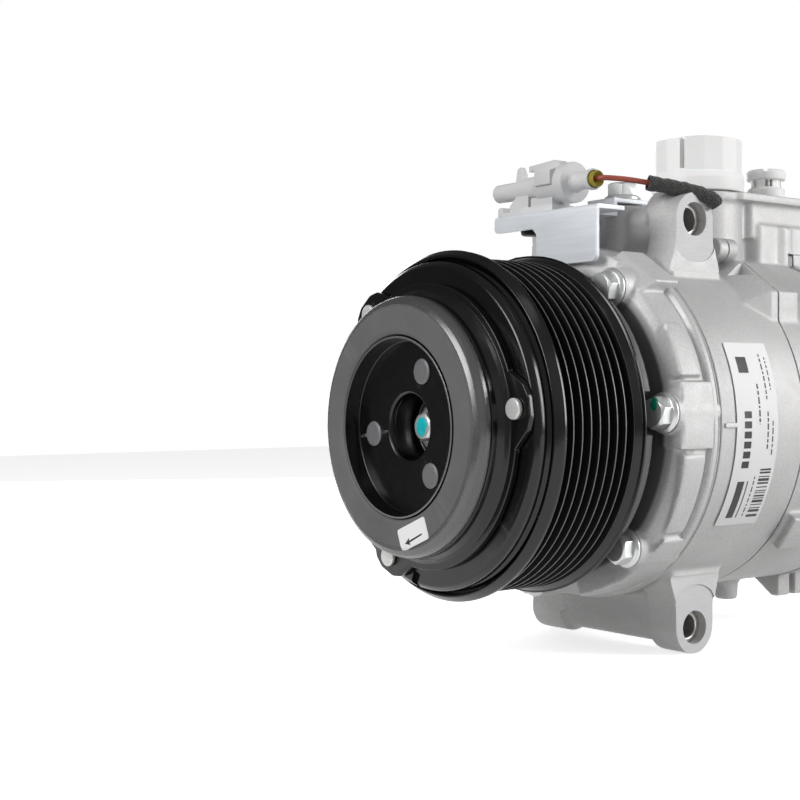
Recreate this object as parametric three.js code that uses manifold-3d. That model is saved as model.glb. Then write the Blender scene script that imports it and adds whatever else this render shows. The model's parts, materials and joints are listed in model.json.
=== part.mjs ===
// Automotive air-conditioning compressor: electromagnetic clutch, wobble-plate pump and casing.
// Millimetres, +Z up. The shaft lies along Y with the clutch at the low-Y end.
// Stations along Y are measured from the first belt ridge of the pulley.
import * as THREE from "three";
import { mergeVertices } from "three/addons/utils/BufferGeometryUtils.js";
import Module from "manifold-3d";

const wasm = await Module();
wasm.setup();

// ---- driving dimensions ----
const TURN = 2 * Math.PI;
const GAP = 0.3; // clearance kept between touching pieces
const FINE = 32; // segments round large diameters
const MEDIUM = 16;
const SMALL = 12; // segments round bolts and small pieces
const COARSE = 8; // segments round bolt shanks and hidden holes
const BORE_SIDES = 12; // segments round a piston and its bore

// belt pulley
const GROOVE_COUNT = 8;
const GROOVE_PITCH = 3.56;
const GROOVE_DEPTH = 2.7;
const RIDGE_R = 53.5;
const RIDGE_TIP = 0.4; // half width of a ridge crest
const FLANGE_R = 55.6;
const PULLEY_FRONT = -6.9;
const PULLEY_REAR = 28.2;
const RIM_INNER_R = 47.6;
const BEARING_OUTER_R = 27.4;
const BEARING_INNER_R = 17.5;

// clutch hub
const DAMPER_FACE = -25.8;
const COLLAR_R = 40.8;
const PLATE_R = 45;
const RIVET_RADIUS = 45.6; // ear rivets stand on this circle
const EAR_ANGLES = [7.5, 127.5, 247.5];
const RIVET_SHANK_R = 2;
const CUP_FLOOR = -20.3;
const CUP_RIVET_RADIUS = 18.6;
const cupAngles = EAR_ANGLES.map((angle) => angle + 60); // the cup's rivets stand between the ears
const FRICTION_FACE = -8.4;
const ARMATURE_AIR_GAP = 0.5;

// casing
const BODY_R = 59.5;
const CHAMBER_R = 47.5;
const FRONT_SEAM = 57;
const BLOCK_SEAM = 97.5;
const VALVE_SEAM = 139.3;
const HEAD_SEAM = 143.4;
const REAR_END = 178;
const BOLT_COUNT = 7;
const BOLT_CIRCLE_R = 53;
const BOLT_START_ANGLE = 4.6;
const BOLT_R = 3.8;
const BOLT_SEAT = 41;
const BOLT_SEAT_R = 7.6;
const BOLT_LOBE_R = 8.6; // casting round each through bolt
const JOINT_GAP = 0.15; // half of the clearance at each casing seam

// mounting bosses, through holes along X
const BOSS_Y = 73;
const BOSS_Z = 67.9;
const BOSS_R = 8.8;
const BOSS_HOLE_R = 5.6;
const BOSS_NEAR_X = 34;
const BOSS_FAR_X = -39;

// pump
const SHAFT_R = 8;
const BORE_R = 14.8;
const BORE_CIRCLE_R = 38.5;
const PLATE_STATION = 84; // middle plane of the wobble plate at zero tilt
const PLATE_HALF = 4;
const WOBBLE_R = 46;
const MOST_TILT = THREE.MathUtils.degToRad(16); // about an axis at the top of the bore circle
const BALL_R = 3.4;
const ROD_R = 2.2;
const GUIDE_ANGLE = 261.7;
const PISTON_CROWN = 138.6;

// ports on top
const PORT_TOP = 82;
const PORT_PLATE = 3; // thickness of the plate round the ports
const PORT_SHELF = 71; // ledge round the port body
const LARGE_PORT_Y = 111;
const SMALL_PORT_Y = 149;

// valves in the rear housing
const CONTROL_VALVE_Z = -24;
const RELIEF_VALVE_Y = 156;
const RELIEF_VALVE_Z = 18;

// connector, its bracket and the lead
const BRACKET_BOLT_X = 2;
const BRACKET_BOLT_Y = 70.5;
const BRACKET_FRONT = 38.6;
const BRACKET_TOP = 71.8;
const SHEET_THICKNESS = 1.6;
const CONNECTOR_Y = 47;
const CONNECTOR_Z = 82;
const CONNECTOR_TIP = -36.7;
const CONNECTOR_REAR = 12.8;
const WIRE_R = 0.9;
const SLEEVE_R = 2.4;

// ---- materials ----
function material(color, roughness, metalness) {
  return new THREE.MeshStandardMaterial({ color, roughness, metalness });
}
const castAluminium = () => material(0xc9c7c4, 0.55, 0.85);
const machinedAluminium = () => material(0xdededc, 0.35, 0.9);
const blackPaint = () => material(0x0d0d0e, 0.25, 0.1);
const steel = () => material(0xb4b6b8, 0.35, 0.95);
const zincSteel = () => material(0xc8ced4, 0.35, 0.9);
const darkSteel = () => material(0x4a4b4d, 0.5, 0.5);
const darkRubber = () => material(0x606163, 0.85, 0);
const whitePlastic = () => material(0xecebe9, 0.5, 0);
const greyPlastic = () => material(0xb4b5b8, 0.55, 0);

// ---- solids ----
// A closed three.js geometry as a manifold solid.
function solid(geometry) {
  const bare = geometry.clone();
  bare.deleteAttribute("normal");
  bare.deleteAttribute("uv");
  const merged = mergeVertices(bare, 1e-4);
  return new wasm.Manifold(
    new wasm.Mesh({
      numProp: 3,
      vertProperties: new Float32Array(merged.attributes.position.array),
      triVerts: new Uint32Array(merged.index.array),
    }),
  );
}

function geometryOf(shape) {
  const mesh = shape.getMesh();
  const geometry = new THREE.BufferGeometry();
  geometry.setAttribute("position", new THREE.BufferAttribute(mesh.vertProperties, 3));
  geometry.setIndex(new THREE.BufferAttribute(mesh.triVerts, 1));
  geometry.computeVertexNormals();
  return geometry;
}

function joined(shapes) {
  return shapes.reduce((whole, shape) => whole.add(shape));
}

function cut(shape, tools) {
  return shape.subtract(joined(tools));
}

// Turns a closed outline of [station, radius] points about the Y axis.
function turned(outline, segments = FINE) {
  let area = 0;
  outline.forEach(([y, r], i) => {
    const [nextY, nextR] = outline[(i + 1) % outline.length];
    area += r * nextY - nextR * y;
  });
  const ordered = area > 0 ? outline : [...outline].reverse();
  const points = ordered.map(([y, r]) => new THREE.Vector2(r, y));
  points.push(points[0].clone());
  return solid(new THREE.LatheGeometry(points, segments));
}

// A ring or disc of rectangular section about the Y axis.
function ring(innerR, outerR, front, rear, segments = FINE) {
  if (innerR <= 0) return cylinderAlong("y", outerR, front, rear, 0, 0, segments);
  return turned([[front, innerR], [front, outerR], [rear, outerR], [rear, innerR]], segments);
}

// A cylinder along an axis from one station to another, offset in the other two axes (in X, Y, Z order).
function cylinderAlong(axis, radius, from, to, offsetA = 0, offsetB = 0, segments = SMALL, endR = radius) {
  const geometry = new THREE.CylinderGeometry(endR, radius, to - from, segments);
  const middle = (from + to) / 2;
  if (axis === "x") {
    geometry.rotateZ(-Math.PI / 2);
    geometry.translate(middle, offsetA, offsetB);
  } else if (axis === "y") {
    geometry.translate(offsetA, middle, offsetB);
  } else {
    geometry.rotateX(Math.PI / 2);
    geometry.translate(offsetA, offsetB, middle);
  }
  return solid(geometry);
}

function box(x0, x1, y0, y1, z0, z1) {
  const geometry = new THREE.BoxGeometry(x1 - x0, y1 - y0, z1 - z0);
  geometry.translate((x0 + x1) / 2, (y0 + y1) / 2, (z0 + z1) / 2);
  return solid(geometry);
}

function flatShape(corners) {
  return new THREE.Shape(corners.map(([u, v]) => new THREE.Vector2(u, v)));
}

// Extrudes a flat outline along one axis. The outline's own axes are the other two, in cyclic order.
function prism(axis, outline, from, to, curveSegments = 6) {
  const shape = Array.isArray(outline) ? flatShape(outline) : outline;
  const options = { depth: to - from, bevelEnabled: false, curveSegments };
  const geometry = new THREE.ExtrudeGeometry(shape, options);
  geometry.translate(0, 0, from);
  const unit = {
    x: new THREE.Vector3(1, 0, 0),
    y: new THREE.Vector3(0, 1, 0),
    z: new THREE.Vector3(0, 0, 1),
  };
  const order = { x: ["y", "z", "x"], y: ["z", "x", "y"], z: ["x", "y", "z"] }[axis];
  const basis = new THREE.Matrix4().makeBasis(...order.map((name) => unit[name]));
  geometry.applyMatrix4(basis);
  return solid(geometry);
}

// A round-ended outline of the given half width between two points on a line.
function obround(u, v0, v1, halfWidth) {
  const shape = new THREE.Shape();
  shape.absarc(u, v1, halfWidth, 0, Math.PI);
  shape.absarc(u, v0, halfWidth, Math.PI, TURN);
  return shape;
}

// The point at an angle (degrees from +X towards +Z) on a circle about the shaft.
function polar(radius, degrees) {
  const angle = THREE.MathUtils.degToRad(degrees);
  return [radius * Math.cos(angle), radius * Math.sin(angle)];
}

const BOLT_STEP = 360 / BOLT_COUNT;
const boltAngles = Array.from({ length: BOLT_COUNT }, (_, i) => BOLT_START_ANGLE + i * BOLT_STEP);
const boreAngles = boltAngles.map((angle) => angle + BOLT_STEP / 2);

// Equal cylinders along the shaft, one at each angle of a circle.
function onCircle(angles, circleR, radius, from, to, segments) {
  return angles.map((angle) => cylinderAlong("y", radius, from, to, ...polar(circleR, angle), segments));
}

function boltHoles(from, to) {
  return onCircle(boltAngles, BOLT_CIRCLE_R, BOLT_R + 0.4, from, to, COARSE);
}

function boltLobes(from, to) {
  return onCircle(boltAngles, BOLT_CIRCLE_R, BOLT_LOBE_R, from, to, SMALL);
}

const assembly = new THREE.Group();

function place(name, shape, look) {
  const mesh = new THREE.Mesh(geometryOf(shape), look);
  mesh.name = name;
  assembly.add(mesh);
}

// ---- clutch pulley ----
function pulley() {
  const grooves = [];
  for (let i = 0; i < GROOVE_COUNT; i++) {
    const floor = i * GROOVE_PITCH - GROOVE_PITCH / 2;
    grooves.push([floor - GROOVE_PITCH / 2 + RIDGE_TIP, RIDGE_R]);
    grooves.push([floor, RIDGE_R - GROOVE_DEPTH]);
    grooves.push([floor + GROOVE_PITCH / 2 - RIDGE_TIP, RIDGE_R]);
  }
  const lastRidge = (GROOVE_COUNT - 1) * GROOVE_PITCH;
  return turned([
    [PULLEY_FRONT + 0.6, FLANGE_R - 0.6],
    [PULLEY_FRONT + 1.2, FLANGE_R],
    [PULLEY_FRONT + 2.4, FLANGE_R],
    ...grooves,
    [lastRidge + 2.2, FLANGE_R],
    [PULLEY_REAR, FLANGE_R],
    [PULLEY_REAR, RIM_INNER_R],
    [-3.6, RIM_INNER_R],
    [-3.6, 31],
    [19.5, 31],
    [19.5, BEARING_OUTER_R + GAP],
    [-6, BEARING_OUTER_R + GAP],
    [FRICTION_FACE, 30],
    [FRICTION_FACE, 48],
    [-9.8, 48.6],
    [-9.8, 50.2],
    [-7.4, 51],
    [-5.6, 51.4],
    [-5.6, 52.6],
    [PULLEY_FRONT, 53.4],
  ]);
}

function bearingBalls() {
  return turned([[7, 22], [10, 20.3], [13, 22], [10, 23.7]], MEDIUM);
}

// Copper coil in its steel cup, with the plate that holds it to the front housing.
function fieldCoil() {
  return turned([
    [-2.6, 32],
    [-2.6, 46.6],
    [21.4, 46.6],
    [21.4, 40],
    [28.6, 40],
    [28.6, 32.5],
    [24.4, 18.2],
    [22.6, 18.2],
    [22.6, 32],
  ]);
}

// ---- clutch front ----
function armaturePlate() {
  const plate = ring(19, 47.6, -12.6, FRICTION_FACE - ARMATURE_AIR_GAP - 0.2, FINE);
  return cut(plate, onCircle(EAR_ANGLES, RIVET_RADIUS, RIVET_SHANK_R + 0.4, -13, -9.4, SMALL));
}

// Outer hub plate: collar round the damper, flange and three riveted ears.
function hubPlate() {
  const collar = turned([
    [-22.9, COLLAR_R - 0.6],
    [-22.3, COLLAR_R],
    [-17.6, COLLAR_R],
    [-16, COLLAR_R + 0.5],
    [-15, COLLAR_R + 1.4],
    [-15, PLATE_R],
    [-13, PLATE_R],
    [-13, COLLAR_R - 2.4],
    [-22.9, COLLAR_R - 2.4],
  ]);
  const outline = [[-13.5, 40.5], [-11.4, 44], [-6.2, 49.6], [0, 51], [6.2, 49.6], [11.4, 44], [13.5, 40.5]];
  const ears = EAR_ANGLES.map((angle) => prism("y", outline, -15, -13).rotate([0, -angle, 0]));
  const holes = onCircle(EAR_ANGLES, RIVET_RADIUS, RIVET_SHANK_R + 0.4, -16, -12, SMALL);
  return cut(joined([collar, ...ears]), holes);
}

function damperRing() {
  return turned([
    [-25.8, 28.9],
    [DAMPER_FACE, 37.4],
    [-25.3, 39.4],
    [-24.2, COLLAR_R],
    [-23.2, COLLAR_R],
    [-23.2, COLLAR_R - 2.7],
    [-16, COLLAR_R - 2.7],
    [-16, 28.5],
    [-24.6, 28.5],
  ]);
}

// Pressed cup that carries the damper's inner edge on the inner hub.
function clutchCup() {
  const cup = turned([
    [-25.5, 27.2],
    [-25.5, 28.1],
    [-16.4, 28.1],
    [-16.4, 26],
    [CUP_FLOOR + 2, 25],
    [CUP_FLOOR + 2, 10.9],
    [CUP_FLOOR, 10.9],
    [CUP_FLOOR, 25.6],
    [CUP_FLOOR - 0.9, 26.6],
  ]);
  return cut(cup, onCircle(cupAngles, CUP_RIVET_RADIUS, RIVET_SHANK_R + 1.2, -22, -16, SMALL));
}

// Splined inner hub: flange behind the cup, deep recess for the bolt, boss on the shaft nose.
function innerHub() {
  const hub = turned([
    [CUP_FLOOR + 2.4, 10.8],
    [CUP_FLOOR + 2.4, 24],
    [-14.6, 24],
    [-14.6, 15.6],
    [-3.6, 15.6],
    [-3.6, 7],
    [-8.6, 7],
    [-8.6, 10.8],
  ]);
  return cut(hub, onCircle(cupAngles, CUP_RIVET_RADIUS, RIVET_SHANK_R + 0.4, -19, -15.6, SMALL));
}

function earRivet(angle) {
  const [x, z] = polar(RIVET_RADIUS, angle);
  const shank = cylinderAlong("y", RIVET_SHANK_R, -15.6, -10, x, z, SMALL);
  return shank.add(cylinderAlong("y", 3.2, -16.7, -15.3, x, z, SMALL));
}

function cupRivet(angle) {
  const [x, z] = polar(CUP_RIVET_RADIUS, angle);
  const shank = cylinderAlong("y", RIVET_SHANK_R, CUP_FLOOR - 0.6, -16, x, z, SMALL);
  return shank.add(cylinderAlong("y", 4, CUP_FLOOR - 1, CUP_FLOOR - GAP, x, z, SMALL));
}

// Hexagon centre bolt on its flange, screwed into the shaft nose.
function hubBolt() {
  const head = cylinderAlong("y", 5.5, -15.3, -10.6, 0, 0, 6);
  const flange = cylinderAlong("y", 8, -10.8, -9, 0, 0, SMALL);
  const shank = cylinderAlong("y", 2.9, -9.2, 8, 0, 0, 12);
  return joined([head, flange, shank]);
}

// ---- casing ----
function frontHousing() {
  const shell = turned([
    [-2, 12.6],
    [-2, BEARING_INNER_R - GAP],
    [29, BEARING_INNER_R - GAP],
    [29, 36],
    [36, 47],
    [41, 52],
    [42.2, 57],
    [44.6, BODY_R],
    [FRONT_SEAM - JOINT_GAP, BODY_R],
    [FRONT_SEAM - JOINT_GAP, CHAMBER_R],
    [48.5, CHAMBER_R],
    [48.5, 24.6],
    [50.2, 23.4],
    [50.2, 13.4],
    [36, 13.4],
    [36, 9.4],
    [24, 9.4],
    [24, 12.6],
  ]);
  const chamber = ring(0, CHAMBER_R, 48.5, FRONT_SEAM + 1, FINE);
  const seats = onCircle(boltAngles, BOLT_CIRCLE_R, BOLT_SEAT_R, 30, BOLT_SEAT, SMALL);
  const whole = joined([shell, ...boltLobes(BOLT_SEAT, FRONT_SEAM - JOINT_GAP)]);
  return cut(whole, [chamber, ...seats, ...boltHoles(40, 60)]);
}

// A mounting boss along X with the web that carries it on the casing.
function mountBoss(side) {
  const outline = obround(BOSS_Y, side * 58, side * BOSS_Z, BOSS_R * side);
  const boss = prism("x", outline, BOSS_FAR_X, BOSS_NEAR_X);
  const half = 11.5;
  const foot = prism(
    "x",
    [
      [BOSS_Y - half, 52 * side],
      [BOSS_Y - BOSS_R, 60 * side],
      [BOSS_Y + BOSS_R, 60 * side],
      [BOSS_Y + half, 52 * side],
      [BOSS_Y + half, 30 * side],
      [BOSS_Y - half, 30 * side],
    ],
    BOSS_FAR_X + 8,
    BOSS_NEAR_X,
  );
  return joined([boss, foot]);
}

function mainHousing() {
  const shell = ring(CHAMBER_R, BODY_R, FRONT_SEAM + JOINT_GAP, BLOCK_SEAM - JOINT_GAP, FINE);
  const frontEnds = onCircle(boltAngles, BOLT_CIRCLE_R, 7.4, FRONT_SEAM + JOINT_GAP, FRONT_SEAM + 5, SMALL);
  const chamber = ring(0, CHAMBER_R, FRONT_SEAM - 1, BLOCK_SEAM + 1, FINE);
  // The bores run on past the seam, so that each piston can come forward.
  const bores = onCircle(boreAngles, BORE_CIRCLE_R, BORE_R, 80, BLOCK_SEAM + 1, BORE_SIDES);
  const holes = [1, -1].map((side) =>
    cylinderAlong("x", BOSS_HOLE_R, BOSS_FAR_X - 1, BOSS_NEAR_X + 1, BOSS_Y, side * BOSS_Z, MEDIUM),
  );
  const rearEnds = boltLobes(BLOCK_SEAM - 8, BLOCK_SEAM - JOINT_GAP);
  const whole = joined([shell, ...frontEnds, ...rearEnds, mountBoss(1), mountBoss(-1)]);
  return cut(whole, [chamber, ...bores, ...holes, ...boltHoles(50, 100)]);
}

function mountBush(side) {
  const at = [BOSS_Y, side * BOSS_Z];
  const outer = cylinderAlong("x", BOSS_HOLE_R - GAP, BOSS_FAR_X + 4.5, BOSS_NEAR_X - 4.5, ...at, MEDIUM);
  return outer.subtract(cylinderAlong("x", 4.2, BOSS_FAR_X, BOSS_NEAR_X, ...at, MEDIUM));
}

// Cylinder block with the port block cast on top and two small bosses underneath.
function cylinderBlock() {
  const body = cylinderAlong("y", BODY_R - 0.3, BLOCK_SEAM + JOINT_GAP, VALVE_SEAM - JOINT_GAP, 0, 0, FINE);
  const portFoot = box(-15, 17, 122, 166, 40, PORT_SHELF);
  const portBody = box(-15, 16, 113, 165, PORT_SHELF - 1, PORT_TOP - 1);
  const plateOutline = [[-18, 112], [19, 112], [19, 166], [15, 170], [-18, 170]];
  const portPlate = prism("z", plateOutline, PORT_TOP - PORT_PLATE, PORT_TOP);
  // The round tower under the large port reaches forward over the main housing.
  const tower = cylinderAlong("z", 17.4, 50, PORT_TOP, 0, LARGE_PORT_Y, 24);
  const portTower = tower.subtract(box(-70, 70, 80, BLOCK_SEAM + JOINT_GAP, 40, 62.5));
  const headSpace = box(-70, 70, VALVE_SEAM - JOINT_GAP, 200, -70, 64);
  const boss = cylinderAlong("z", 5, -66.5, -50, 1, 125.5, SMALL);
  const web = prism("x", [[134, -50], [137, -60], [139.1, -61.5], [139.1, -50]], 0, 14);
  const bores = onCircle(boreAngles, BORE_CIRCLE_R, BORE_R, 90, 150, BORE_SIDES);
  const centre = turned([[90, 0], [90, 13.4], [107, 13.4], [107, 12.4], [131, 12.4], [131, 0]], MEDIUM);
  const largePort = cylinderAlong("z", 9, 60, 90, 0, LARGE_PORT_Y, 20);
  const smallPort = cylinderAlong("z", 5, 66, 90, 0, SMALL_PORT_Y, SMALL);
  const lobes = boltLobes(BLOCK_SEAM + JOINT_GAP, VALVE_SEAM - JOINT_GAP);
  const ports = joined([portFoot.subtract(headSpace), portBody, portPlate, portTower]);
  const whole = joined([body, ...lobes, ports, boss, web]);
  return cut(whole, [...bores, centre, largePort, smallPort, ...boltHoles(90, 150)]);
}

function valvePlate() {
  const front = VALVE_SEAM + JOINT_GAP;
  const rear = HEAD_SEAM - JOINT_GAP;
  const disc = cylinderAlong("y", BODY_R - 0.6, front, rear, 0, 0, FINE);
  const plate = joined([disc, ...boltLobes(front, rear)]);
  const ports = onCircle(boreAngles, BORE_CIRCLE_R - 8, 2.6, 130, 150, 6);
  const inlets = onCircle(boreAngles, BORE_CIRCLE_R + 3, 3.4, 130, 150, 6);
  return cut(plate, [...ports, ...inlets, ...boltHoles(130, 150)]);
}

// Rear head with a discharge chamber in the middle and a ring-shaped suction chamber round it.
function rearHousing() {
  const shell = turned([
    [HEAD_SEAM + JOINT_GAP, 46.5],
    [HEAD_SEAM + JOINT_GAP, BODY_R - 0.5],
    [170, BODY_R - 0.5],
    [175, 55],
    [REAR_END, 46],
    [REAR_END, 0],
    [160, 0],
    [160, 33],
    [HEAD_SEAM + JOINT_GAP, 33],
    [HEAD_SEAM + JOINT_GAP, 36.5],
    [164, 36.5],
    [164, 46.5],
  ]);
  const foot = prism("x", [[147, -50], [151, -65.5], [157, -65.5], [163, -50]], -14, 16);
  const hub = cylinderAlong("y", 14, 155, 184, 0, CONTROL_VALVE_Z, 20);
  const valveBore = cylinderAlong("y", 9.4, 166, 190, 0, CONTROL_VALVE_Z, 20);
  const reliefBore = cylinderAlong("x", 4.3, 50, 70, RELIEF_VALVE_Y, RELIEF_VALVE_Z, SMALL);
  const lobes = boltLobes(HEAD_SEAM + JOINT_GAP, 164);
  return cut(joined([shell, ...lobes, foot, hub]), [valveBore, reliefBore, ...boltHoles(140, 164)]);
}

function throughBolt(angle) {
  const [x, z] = polar(BOLT_CIRCLE_R, angle);
  const shank = cylinderAlong("y", BOLT_R, BOLT_SEAT - 1, 162, x, z, COARSE);
  const washer = cylinderAlong("y", 6.9, BOLT_SEAT - 1.6, BOLT_SEAT - GAP, x, z, SMALL);
  const head = cylinderAlong("y", 5.6, 34.4, BOLT_SEAT - 1.4, x, z, 6);
  return joined([shank, washer, head]);
}

// ---- pump ----
function driveShaft() {
  return turned([
    [-8.2, 3.3],
    [-8.2, 6.7],
    [6, 6.7],
    [8, SHAFT_R - 0.4],
    [50, SHAFT_R - 0.4],
    [50, SHAFT_R],
    [130, SHAFT_R],
    [130, 0],
    [10, 0],
    [10, 3.3],
  ], MEDIUM);
}

// Drive rotor with the short arm that turns the journal.
function driveRotor() {
  const bore = SHAFT_R + GAP;
  const rotor = turned([[53, bore], [53, 23.6], [55.5, 23.6], [57.5, 18], [57.5, bore]], MEDIUM);
  return rotor.add(box(-4, 4, 55, 61, 9.6, 16.6));
}

// Non-turning plate that the piston rods hang on, with a notch for its guide rod.
function wobblePlate() {
  const front = PLATE_STATION - PLATE_HALF;
  const rear = PLATE_STATION + PLATE_HALF;
  const plate = ring(20.6, WOBBLE_R, front, rear, FINE);
  // A rod's crossing point moves down the plate as it tilts, so each socket is wider the lower it lies.
  const sockets = boreAngles.map((a) => {
    const [x, z] = polar(BORE_CIRCLE_R, a);
    const drift = (BORE_CIRCLE_R - z) * (1 / Math.cos(MOST_TILT) - 1);
    return cylinderAlong("y", BALL_R + 0.45 + drift / 2, front - 1, rear + 1, x, z - drift / 2, BORE_SIDES);
  });
  const notch = box(-3.6, 3.6, front - 1, rear + 1, 36, 50).rotate([0, 90 - GUIDE_ANGLE, 0]);
  return cut(plate, [...sockets, notch]);
}

// Bearing hub that turns with the shaft inside the wobble plate.
function journal() {
  const front = PLATE_STATION - PLATE_HALF;
  const rear = PLATE_STATION + 8.6;
  return turned([
    [front, 13.6],
    [front, 20.2],
    [rear - 4, 20.2],
    [rear - 3.2, 18],
    [rear, 17],
    [rear, 13.6],
  ], MEDIUM);
}

function guideRod() {
  return cylinderAlong("y", 2, 49, BLOCK_SEAM - 0.3, ...polar(44.6, GUIDE_ANGLE), COARSE);
}

// Coil spring between the journal and the cylinder block.
function returnSpring() {
  const turns = 3;
  const points = [];
  const steps = turns * 9;
  for (let i = 0; i <= steps; i++) {
    const angle = (i / steps) * turns * TURN;
    points.push(new THREE.Vector3(11 * Math.cos(angle), 94.2 + (11 * i) / steps, 11 * Math.sin(angle)));
  }
  const path = new THREE.CatmullRomCurve3(points);
  const wire = new THREE.Shape([[1, 0], [0, 1], [-1, 0], [0, -1]].map(([u, v]) => new THREE.Vector2(u, v)));
  return solid(new THREE.ExtrudeGeometry(wire, { steps, extrudePath: path }));
}

// Piston, rod and ball end in one turned piece.
function piston(angle) {
  const r = BORE_R - GAP;
  const body = turned([
    [PLATE_STATION - BALL_R, 0],
    [PLATE_STATION - 2.4, 2.4],
    [PLATE_STATION, BALL_R],
    [PLATE_STATION + 2.6, ROD_R],
    [108, ROD_R],
    [108, r],
    [PISTON_CROWN, r],
    [PISTON_CROWN, 0],
  ], BORE_SIDES);
  const [x, z] = polar(BORE_CIRCLE_R, angle);
  return body.translate([x, 0, z]);
}

// ---- outside pieces ----
// Folded sheet bracket: upright plate with a narrow tail, a top flange and a raised strap to its bolt.
function connectorBracket() {
  const outline = [
    [70.4, 22.4],
    [54.6, 22.4],
    [53, 20.8],
    [53, -5.4],
    [54.6, -7],
    [63, -7],
    [66, -10],
    [66, -29],
    [70.4, -29],
  ];
  const under = BRACKET_TOP - SHEET_THICKNESS;
  const upright = prism("y", outline, BRACKET_FRONT, BRACKET_FRONT + SHEET_THICKNESS);
  const flange = box(-29, 22.4, BRACKET_FRONT, 51.6, under, BRACKET_TOP);
  const strap = box(-1, 9.5, 51, 61, under, BRACKET_TOP);
  const riser = box(-1, 9.5, 61 - SHEET_THICKNESS, 61, under, 78.5);
  const tab = box(-5, 9.5, 61 - SHEET_THICKNESS, 79, 77, 78.5);
  const hole = cylinderAlong("z", 3.4, 74, 80, BRACKET_BOLT_X, BRACKET_BOLT_Y, SMALL);
  return cut(joined([upright, flange, strap, riser, tab]), [hole]);
}

function bracketBolt() {
  return joined([
    cylinderAlong("z", 5.6, 80, 84.6, BRACKET_BOLT_X, BRACKET_BOLT_Y, 6),
    cylinderAlong("z", 6.6, 78.5 + GAP, 80.2, BRACKET_BOLT_X, BRACKET_BOLT_Y, SMALL),
  ]);
}

// Single-pin connector along X with its mating nose, latch, clip foot and rear barrel.
function connectorBody() {
  const y = CONNECTOR_Y;
  const z = CONNECTOR_Z;
  const pieces = [
    cylinderAlong("x", 3.3, CONNECTOR_TIP, -23, y, z, MEDIUM),
    cylinderAlong("x", 4.1, -24, -11, y, z, MEDIUM),
    cylinderAlong("x", 6.2, -12.5, 0, y, z, 20),
    cylinderAlong("x", 6.9, -0.6, 3.8, y, z, 20),
    cylinderAlong("x", 3.5, 3, CONNECTOR_REAR, y, z, MEDIUM),
    box(-16.7, -1, y - 2.6, y + 2.6, z + 3, z + 7.4),
    box(-26.5, -21.5, y - 1, y + 1, z + 2, z + 8.3),
    box(-27, -17, y - 3.2, y + 3.2, BRACKET_TOP + 0.4, z - 2.5),
    box(-18, -2, y - 4.2, y + 4.2, BRACKET_TOP + 0.4, z - 4),
    box(-34.5, -26, y - 2.2, y + 2.2, BRACKET_TOP + 0.4, BRACKET_TOP + 2.4),
    box(-34.5, -31.5, y - 2.2, y + 2.2, BRACKET_TOP + 0.4, z - 5),
  ];
  const socket = cylinderAlong("x", 2.2, CONNECTOR_TIP - 1, -26, y, z, SMALL);
  const wireHole = cylinderAlong("x", 2.9, 8.6, CONNECTOR_REAR + 1, y, z, SMALL);
  return cut(joined(pieces), [socket, wireHole]);
}

function connectorSeal() {
  const seal = cylinderAlong("x", 2.3, 9.2, 14.9, CONNECTOR_Y, CONNECTOR_Z, SMALL, 2.8);
  return seal.subtract(cylinderAlong("x", WIRE_R + 0.4, 10, 17, CONNECTOR_Y, CONNECTOR_Z, SMALL));
}

function sweep(points, radius, sides, steps) {
  const path = new THREE.CatmullRomCurve3(points.map((p) => new THREE.Vector3(...p)));
  const section = new THREE.Shape();
  for (let i = 0; i < sides; i++) {
    const angle = (i / sides) * TURN;
    const corner = [radius * Math.cos(angle), radius * Math.sin(angle)];
    if (i === 0) section.moveTo(...corner);
    else section.lineTo(...corner);
  }
  return solid(new THREE.ExtrudeGeometry(section, { steps, extrudePath: path }));
}

// Field-coil lead from the connector seal into the woven sleeve.
function leadWire() {
  const route = [
    [10.6, CONNECTOR_Y, CONNECTOR_Z],
    [13.9, CONNECTOR_Y, CONNECTOR_Z],
    [17.2, 47.7, 82],
    [21.2, 53.4, 81.7],
    [24.5, 60.2, 80.9],
  ];
  return sweep(route, WIRE_R, 8, 10);
}

// Woven sleeve over the lead: over the upper boss, down behind it and forward to the coil.
function leadSleeve() {
  const route = [
    [24.9, 61, 80.8],
    [28.4, 67, 80.4],
    [31.4, 73, 79.8],
    [33, 78, 78.6],
    [33.6, 81.8, 76.6],
    [33.6, 83.2, 73.6],
  ];
  return sweep(route, SLEEVE_R, 10, 14);
}

function largeCap() {
  const top = cylinderAlong("z", 15.7, 89.4, 102.6, 0, LARGE_PORT_Y, MEDIUM);
  const base = cylinderAlong("z", 16.9, PORT_TOP + GAP, 89.6, 0, LARGE_PORT_Y, MEDIUM);
  const plug = cylinderAlong("z", 8.6, 70, PORT_TOP + 1, 0, LARGE_PORT_Y, 20);
  return joined([top, base, plug]);
}

function smallCap() {
  const top = cylinderAlong("z", 7.5, 90.5, 94.6, 0, SMALL_PORT_Y, 20);
  const neck = cylinderAlong("z", 5.6, 86, 91, 0, SMALL_PORT_Y, SMALL);
  const base = cylinderAlong("z", 7.2, PORT_TOP + GAP, 87.8, 0, SMALL_PORT_Y, 20);
  const plug = cylinderAlong("z", 4.6, 72, PORT_TOP + 1, 0, SMALL_PORT_Y, SMALL);
  return joined([top, neck, base, plug]);
}

function controlValve() {
  return joined([
    cylinderAlong("y", 9, 167, 184.5, 0, CONTROL_VALVE_Z, 20),
    cylinderAlong("y", 6, 184, 188, 0, CONTROL_VALVE_Z, SMALL),
  ]);
}

function reliefValve() {
  return joined([
    cylinderAlong("x", 4, 50.5, 60, RELIEF_VALVE_Y, RELIEF_VALVE_Z, SMALL),
    cylinderAlong("x", 6, 59.4, 66, RELIEF_VALVE_Y, RELIEF_VALVE_Z, 6),
  ]);
}

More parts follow.
